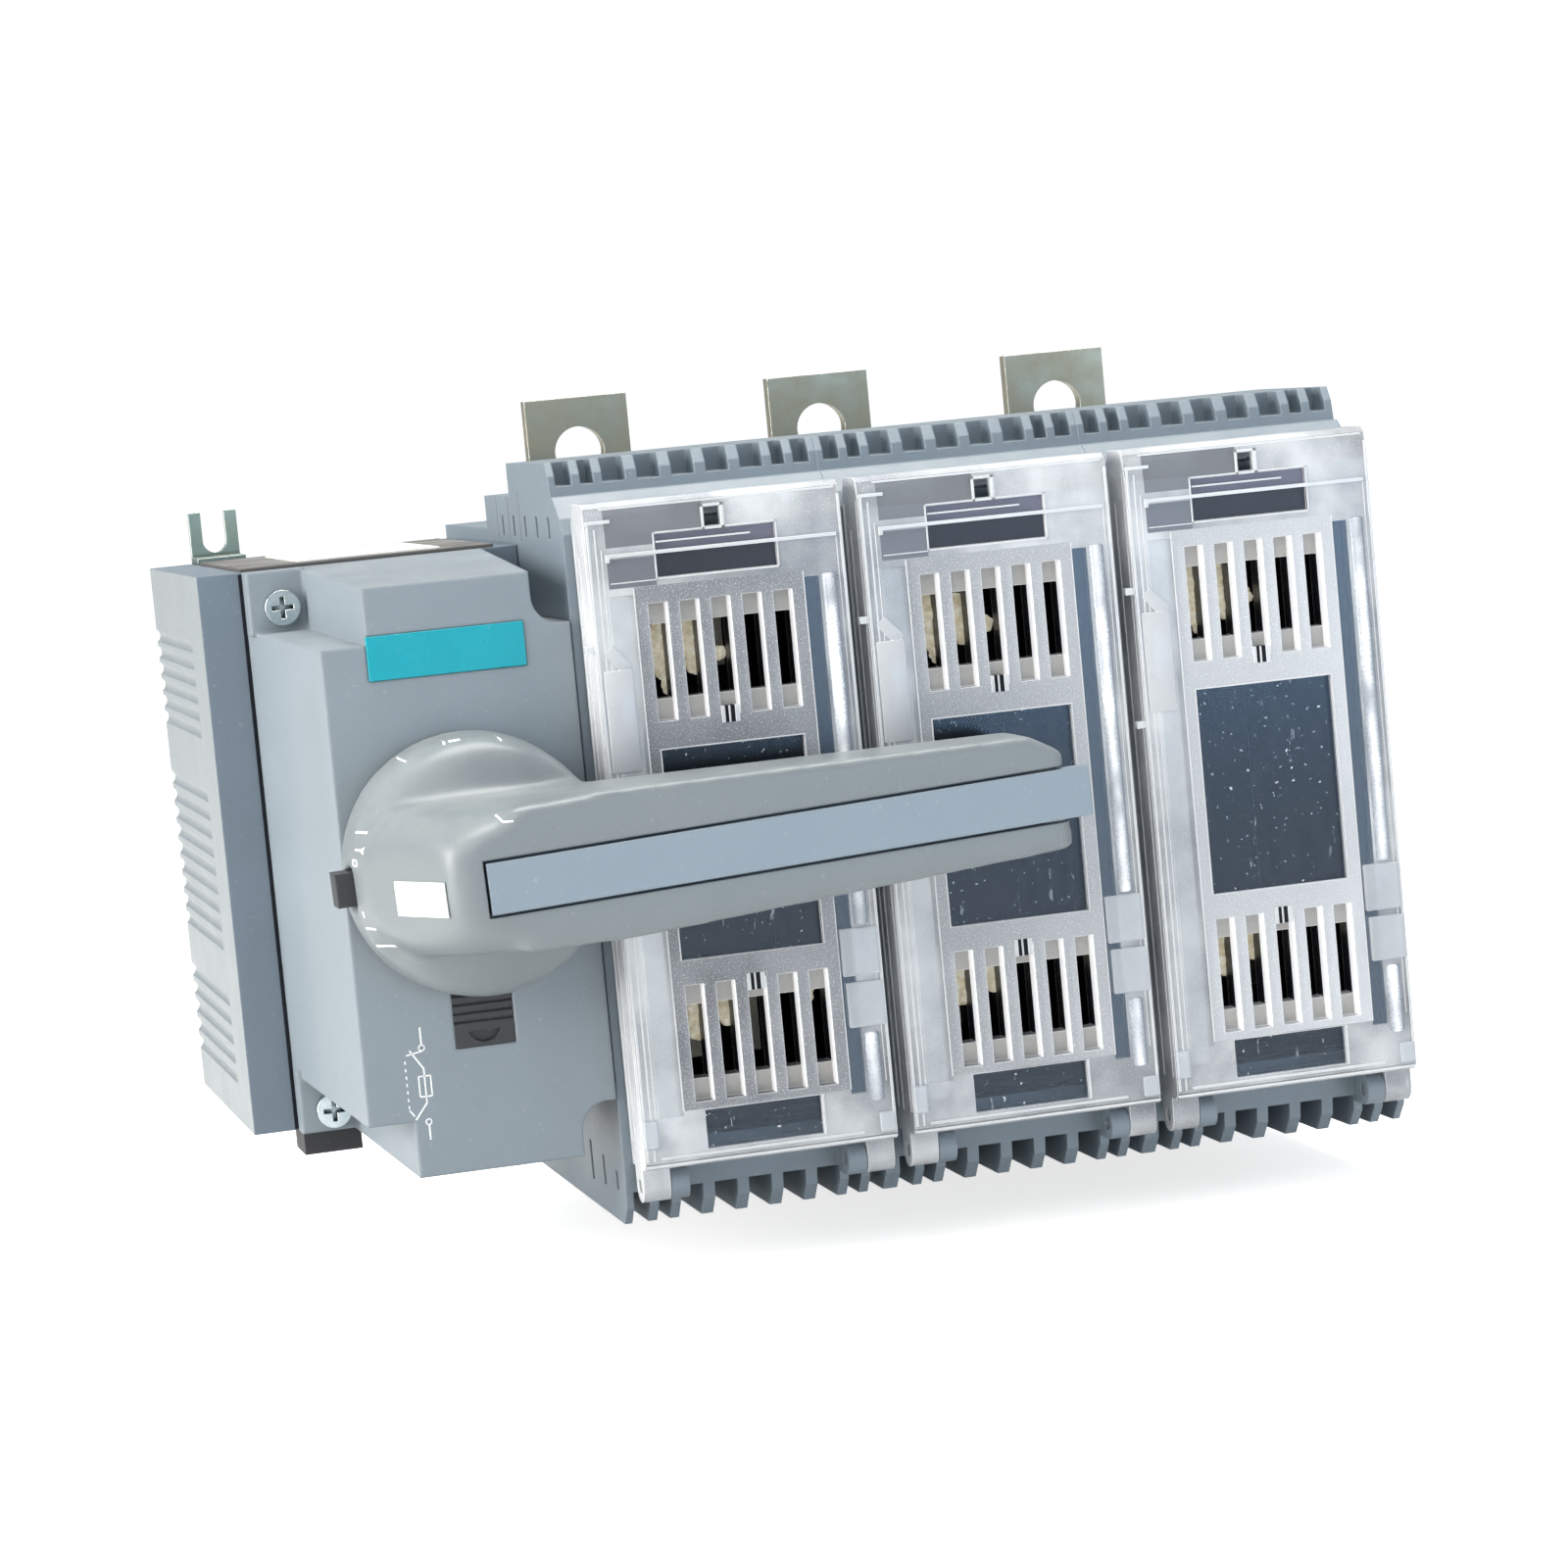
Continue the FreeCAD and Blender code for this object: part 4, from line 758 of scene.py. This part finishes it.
def grease_lumps(n, x, rng):
    # contact grease smeared behind the first louver slots
    clots = []
    for u, z, wide, tall in LUMPS:
        start()
        size = (wide * MM * rng.uniform(0.9, 1.15), 2.2 * MM, tall * MM * rng.uniform(0.85, 1.1))
        bpy.ops.mesh.primitive_ico_sphere_add(subdivisions=5, radius=1, scale=size,
                                              location=Vector((x + u, -149.6, z)) * MM)
        o = settle()
        clouds = bpy.data.textures.new("lump", "CLOUDS")
        clouds.noise_scale = 0.0022
        clouds.noise_depth = 3
        modify(o, "DISPLACE", texture=clouds, strength=0.0022, mid_level=0.5, texture_coords="GLOBAL")
        clots.append(o)
    piece("contact_grease_%d" % n, clots, GREASE, "cover_%d" % n, smooth=70)


def loose_copy(name):
    # a CAD piece's mesh on an object of its own, free of its body
    o = nodes[name].copy()
    o.data = nodes[name].data.copy()
    bpy.context.scene.collection.objects.link(o)
    o.parent = None
    o.matrix_world = Matrix.Identity(4)
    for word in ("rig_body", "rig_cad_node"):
        del o[word]
    pick(o)
    bpy.ops.mesh.customdata_custom_splitnormals_clear()
    return o


def carve(o, tools, operation="DIFFERENCE"):
    # a piece cut by tools that are used up, or joined with them
    for tool in tools:
        modify(o, "BOOLEAN", object=tool, operation=operation, solver="EXACT")
        drop(tool)


def handle_form():
    # the CAD handle with its slots filled, dished beside the ridge, softened, and its slots cut again
    o = loose_copy("handle")
    pivot = Vector((KNOB_X, -160, KNOB_Z)) * MM
    # the front of the lever falls from the brink of the knob to the tip
    brink = Vector((KNOB_X - 8, -200, KNOB_Z)) * MM
    slope = math.atan((200 - 187) / (122.5 + 8))

    def turned(x0, x1, out0, out1, z0, z1, lean=False):
        # a block in the handle's own frame, or one that follows the sloping front of the lever
        p = block(KNOB_X + x0, KNOB_X + x1, out0, out1, KNOB_Z + z0, KNOB_Z + z1)
        if lean:
            turn(-slope, "Z", brink)
        turn(math.radians(LEVER_TILT), "Y", pivot)
        return p

    def dish(above):
        # the hollow above or below the ridge
        bowl = ball(190, (24.8, 24.5, 24.8), 64, 40)
        carve(bowl, [turned(-40, 60, 150, 225, *((-40, 15.3) if above else (-15.3, 40)))])
        return bowl

    def corner(above):
        # what stands outside the round nose above or below its middle
        waste = turned(-40, 0, 163, 210, *((0, 16.2) if above else (-16.2, 0)))
        carve(waste, [ball(160, (28.3, 47, 20.5), 96, 64)])
        return waste

    carve(o, [turned(-8, 122.2, 189.5, 199.8, -8.6, 7.4, True)], "UNION")
    carve(o, [dish(True), dish(False), corner(True), corner(False)])
    modify(o, "REMESH", mode="VOXEL", voxel_size=0.0008)
    # all edges a little, and those near the nose much more
    soft = o.vertex_groups.new(name="soft").name
    bpy.ops.object.mode_set(mode="EDIT")
    bpy.ops.mesh.select_all(action="SELECT")
    bpy.ops.object.vertex_group_assign()
    bpy.ops.object.mode_set(mode="OBJECT")
    near = turned(-22, -20, 186, 188, -1, 1)
    modify(o, "VERTEX_WEIGHT_PROXIMITY", vertex_group=soft, target=near, proximity_mode="GEOMETRY",
           proximity_geometry={"VERTEX"}, min_dist=0.042, max_dist=0.020)
    drop(near)
    modify(o, "SMOOTH", factor=0.5, iterations=14)
    modify(o, "SMOOTH", factor=0.5, iterations=90, vertex_group=soft)
    card_z, card_half = -0.9, 3.8
    carve(o, [turned(-6.2, 124, 190, 206, -6.6, 5.3, True), turned(-5.95, 124, 191.9, 197, -8.3, 7.0, True),
              turned(-32, -19.8, 150.8, 158.2, card_z - card_half, card_z + card_half)])
    soft_handle = piece("handle_soft", [o], finish["handle_grey"], "turn_handle", smooth=35)
    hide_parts("handle")


def ribbed_housing():
    # the housing with its side grooves made round and set in three groups
    o = loose_copy("mechanism_housing")
    carve(o, [block(-162.5, -161.2, 3, 57, -54, 46)], "UNION")
    # top groove, spacing and number in each group
    levels = [top - step * k for top, step, count in ((46.5, 3.9, 6), (12.4, 4.25, 9), (-34.4, 4.45, 5))
              for k in range(count)]
    grooves = [cylinder(1.7, 73, (-163.4, -34.5, z), 24, (math.pi / 2, 0, 0)) for z in levels]
    carve(o, [join(grooves)])
    ribbed = piece("housing_ribbed", [o], finish["side_grey"], "switch", smooth=30)
    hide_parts("mechanism_housing")


def stroke(place, rotation, width, height, angle, axis):
    # a flat painted line, turned about its own middle
    start()
    middle = Vector(place) * MM
    bpy.ops.mesh.primitive_plane_add(size=1, location=middle, rotation=rotation)
    bpy.context.object.scale = (width * MM, height * MM, 1)
    o = settle()
    turn(angle, axis, middle)
    return o


def laid(lines, target, **axis):
    # flat strokes laid on a surface, with a film's thickness
    o = join(lines)
    bpy.ops.object.mode_set(mode="EDIT")
    bpy.ops.mesh.select_all(action="SELECT")
    bpy.ops.mesh.subdivide(number_cuts=4)
    bpy.ops.object.mode_set(mode="OBJECT")
    modify(o, "SHRINKWRAP", target=target, wrap_method="PROJECT", use_positive_direction=True,
           use_negative_direction=False, offset=0.00006, **axis)
    return modify(o, "SOLIDIFY", thickness=0.00005, offset=-1)


# strokes on the knob's front: across, up, length, angle, width
FRONT_INK = ((-14.0, 24.0, 0.7, -35, 0.4), (6.3, 26.6, 1.1, -60, 0.4), (-5.4, 26.9, 0.7, 60, 0.42),
             (-3.2, 27.2, 2.4, 5, 0.3), (-1.6, 13.1, 1.7, -55, 0.4), (-0.1, 12.4, 2.0, 0, 0.36))
# strokes on its left side: out, up, length, angle, width
SIDE_INK = ((163.6, 10.4, 4.6, 0, 0.45), (164.0, -9.9, 4.2, 0, 0.45), (163.8, -13.9, 4.6, 0, 0.45),
            (165.4, 6.9, 5.0, 0, 0.4), (167.0, 7.2, 2.2, 18, 0.35), (167.0, 6.6, 2.2, -18, 0.35),
            (162.6, 4.7, 3.0, 0, 0.3), (162.6, 3.5, 3.0, 0, 0.3), (161.2, 4.1, 1.2, 90, 0.7),
            (164.0, 4.1, 1.2, 90, 0.7), (163.4, -6.8, 1.3, 90, 0.9))


def ink_marks(target):
    # printed ticks, arrow, zero and one round the knob, and the small mark on the ridge
    front = [stroke((KNOB_X + dx, -206, KNOB_Z + dz), (math.pi / 2, 0, 0), long, wide, math.radians(lean), "Y")
             for dx, dz, long, lean, wide in FRONT_INK]
    piece("knob_marks", [laid(front, target, use_project_y=True)], INK, "turn_handle")
    side = [stroke((-160, -out, KNOB_Z + dz), (0, -math.pi / 2, 0), wide, long, math.radians(lean), "X")
            for out, dz, long, lean, wide in SIDE_INK]
    piece("knob_side_marks", [laid(side, target, use_project_x=True)], INK, "turn_handle")


# the drawing's lines: from across, up, to across, up, and width
CIRCUIT = (
    (-131.5, -35.7, -131.5, -39.4, 0.36), (-131.5, -40.8, -135.0, -41.4, 0.3),
    (-134.2, -40.4, -131.5, -44.6, 0.36), (-131.5, -44.6, -131.5, -46.2, 0.36),
    (-132.8, -46.2, -130.2, -46.2, 0.3), (-132.8, -50.6, -130.2, -50.6, 0.3),
    (-132.8, -46.2, -132.8, -50.6, 0.3), (-130.2, -46.2, -130.2, -50.6, 0.3),
    (-131.5, -46.2, -131.5, -52.0, 0.3), (-131.5, -52.0, -134.2, -55.4, 0.36),
    (-131.5, -56.8, -131.5, -60.0, 0.36),
    *((-135.4, z, -135.4, z - 0.7, 0.26) for z in (-42.6, -44.2, -45.8, -47.4, -49.0, -50.6, -52.2)),
    (-135.4, -53.2, -134.4, -54.6, 0.3))


def circuit_print():
    # printed line drawing of one switched and fused pole, a film on the front of the housing's cover
    back, front = 146.95, 147.03
    lines = [stick(xa, za, xb, zb, back, front, wide) for xa, za, xb, zb, wide in CIRCUIT]
    for z in (-40.1, -56.1):
        start()
        bpy.ops.mesh.primitive_torus_add(major_radius=0.62 * MM, minor_radius=0.15 * MM, major_segments=20,
                                         minor_segments=6, rotation=(math.pi / 2, 0, 0),
                                         location=Vector((-131.5, -back, z)) * MM)
        lines.append(settle())
    piece("circuit_print", lines, INK, "switch")


rng = random.Random(7)
for n in POLES:
    x = (n - 2) * PITCH
    chamber(n, x)
    cover_trim(n, x)
    grease_lumps(n, x, rng)
handle_form()
ribbed_housing()
ink_marks(bpy.data.objects["handle_soft"])
joint_shadow()
circuit_print()


def area_light(name, place, aim, width, height, power, tint):
    data = bpy.data.lights.new(name, "AREA")
    data.shape = "RECTANGLE"
    data.size, data.size_y = width, height
    data.energy = power
    data.color = tint
    lamp = bpy.data.objects.new(name, data)
    bpy.context.scene.collection.objects.link(lamp)
    lamp.location = place
    lamp.rotation_euler = (Vector(aim) - Vector(place)).to_track_quat("-Z", "Y").to_euler()


def camera_alone(tree, others, seen, output):
    # one shader for the camera and another for all other rays
    path = tree.nodes.new("ShaderNodeLightPath")
    mix = mix_shader(tree, path.outputs["Is Camera Ray"], others, seen)
    tree.links.new(mix, tree.nodes[output].inputs["Surface"])


def studio():
    # soft daylight from the left and above, seen against white
    scene = bpy.context.scene
    scene.view_settings.view_transform = "Standard"
    world = bpy.data.worlds.new("studio")
    scene.world = world
    world.use_nodes = True
    tree = world.node_tree
    back = tree.nodes["Background"]
    back.inputs["Color"].default_value = (0.90, 0.95, 1.0, 1)
    back.inputs["Strength"].default_value = 0.42
    white = tree.nodes.new("ShaderNodeBackground")
    white.inputs["Color"].default_value = (1, 1, 1, 1)
    white.inputs["Strength"].default_value = 1.05
    camera_alone(tree, back.outputs[0], white.outputs[0], "World Output")
    middle = (0, -0.08, 0)
    for name, place, aim, width, height, power, tint in (
            ("left", (-2.2, -0.5, 0.5), middle, 1.2, 1.6, 80, (1, 0.965, 0.92)),
            ("key", (-0.9, -1.9, 1.3), middle, 1.2, 1.0, 10.5, (1, 0.985, 0.96)),
            ("top", (0.1, -0.2, 1.9), middle, 1.5, 1.2, 50, (1, 0.975, 0.93)),
            ("right", (1.6, -1.3, 0.3), middle, 0.5, 1.3, 7, (0.96, 0.98, 1)),
            ("window", (0.72, -1.75, -0.14), (0.06, -0.16, 0), 0.75, 0.8, 8, (0.50, 0.76, 1))):
        area_light(name, place, aim, width, height, power, tint)

    start()
    bpy.ops.mesh.primitive_circle_add(vertices=96, radius=40, fill_type="NGON",
                                      location=(0, 0, cad_low.z - 0.001))
    floor = settle()
    floor.name = "floor"
    m, tree, bsdf = new_material("floor_paper")
    bsdf.inputs["Base Color"].default_value = (0.8, 0.8, 0.8, 1)
    bsdf.inputs["Roughness"].default_value = 0.95
    bsdf.inputs["Specular IOR Level"].default_value = 0.1
    glow = tree.nodes.new("ShaderNodeEmission")
    glow.inputs["Color"].default_value = (1, 1, 1, 1)
    glow.inputs["Strength"].default_value = 0.74
    lifted = tree.nodes.new("ShaderNodeAddShader")
    tree.links.new(bsdf.outputs[0], lifted.inputs[0])
    tree.links.new(glow.outputs[0], lifted.inputs[1])
    camera_alone(tree, bsdf.outputs[0], lifted.outputs[0], "Material Output")
    floor.data.materials.append(m)


def camera():
    # the photograph's viewing angle, with the lean of its horizon
    place = Vector((-0.2857, -1.1442, 0.0999))
    aim = Vector((-0.0356, -0.1001, 0.0028))
    lean = math.radians(-5.375)
    data = bpy.data.cameras.new("camera")
    data.lens = 109.05
    data.sensor_width = 36
    data.clip_start, data.clip_end = 0.05, 100
    cam = bpy.data.objects.new("camera", data)
    bpy.context.scene.collection.objects.link(cam)
    cam.location = place
    cam.rotation_mode = "QUATERNION"
    cam.rotation_quaternion = (aim - place).to_track_quat("-Z", "Y") @ Quaternion((0, 0, 1), lean)
    bpy.context.scene.camera = cam


studio()
camera()
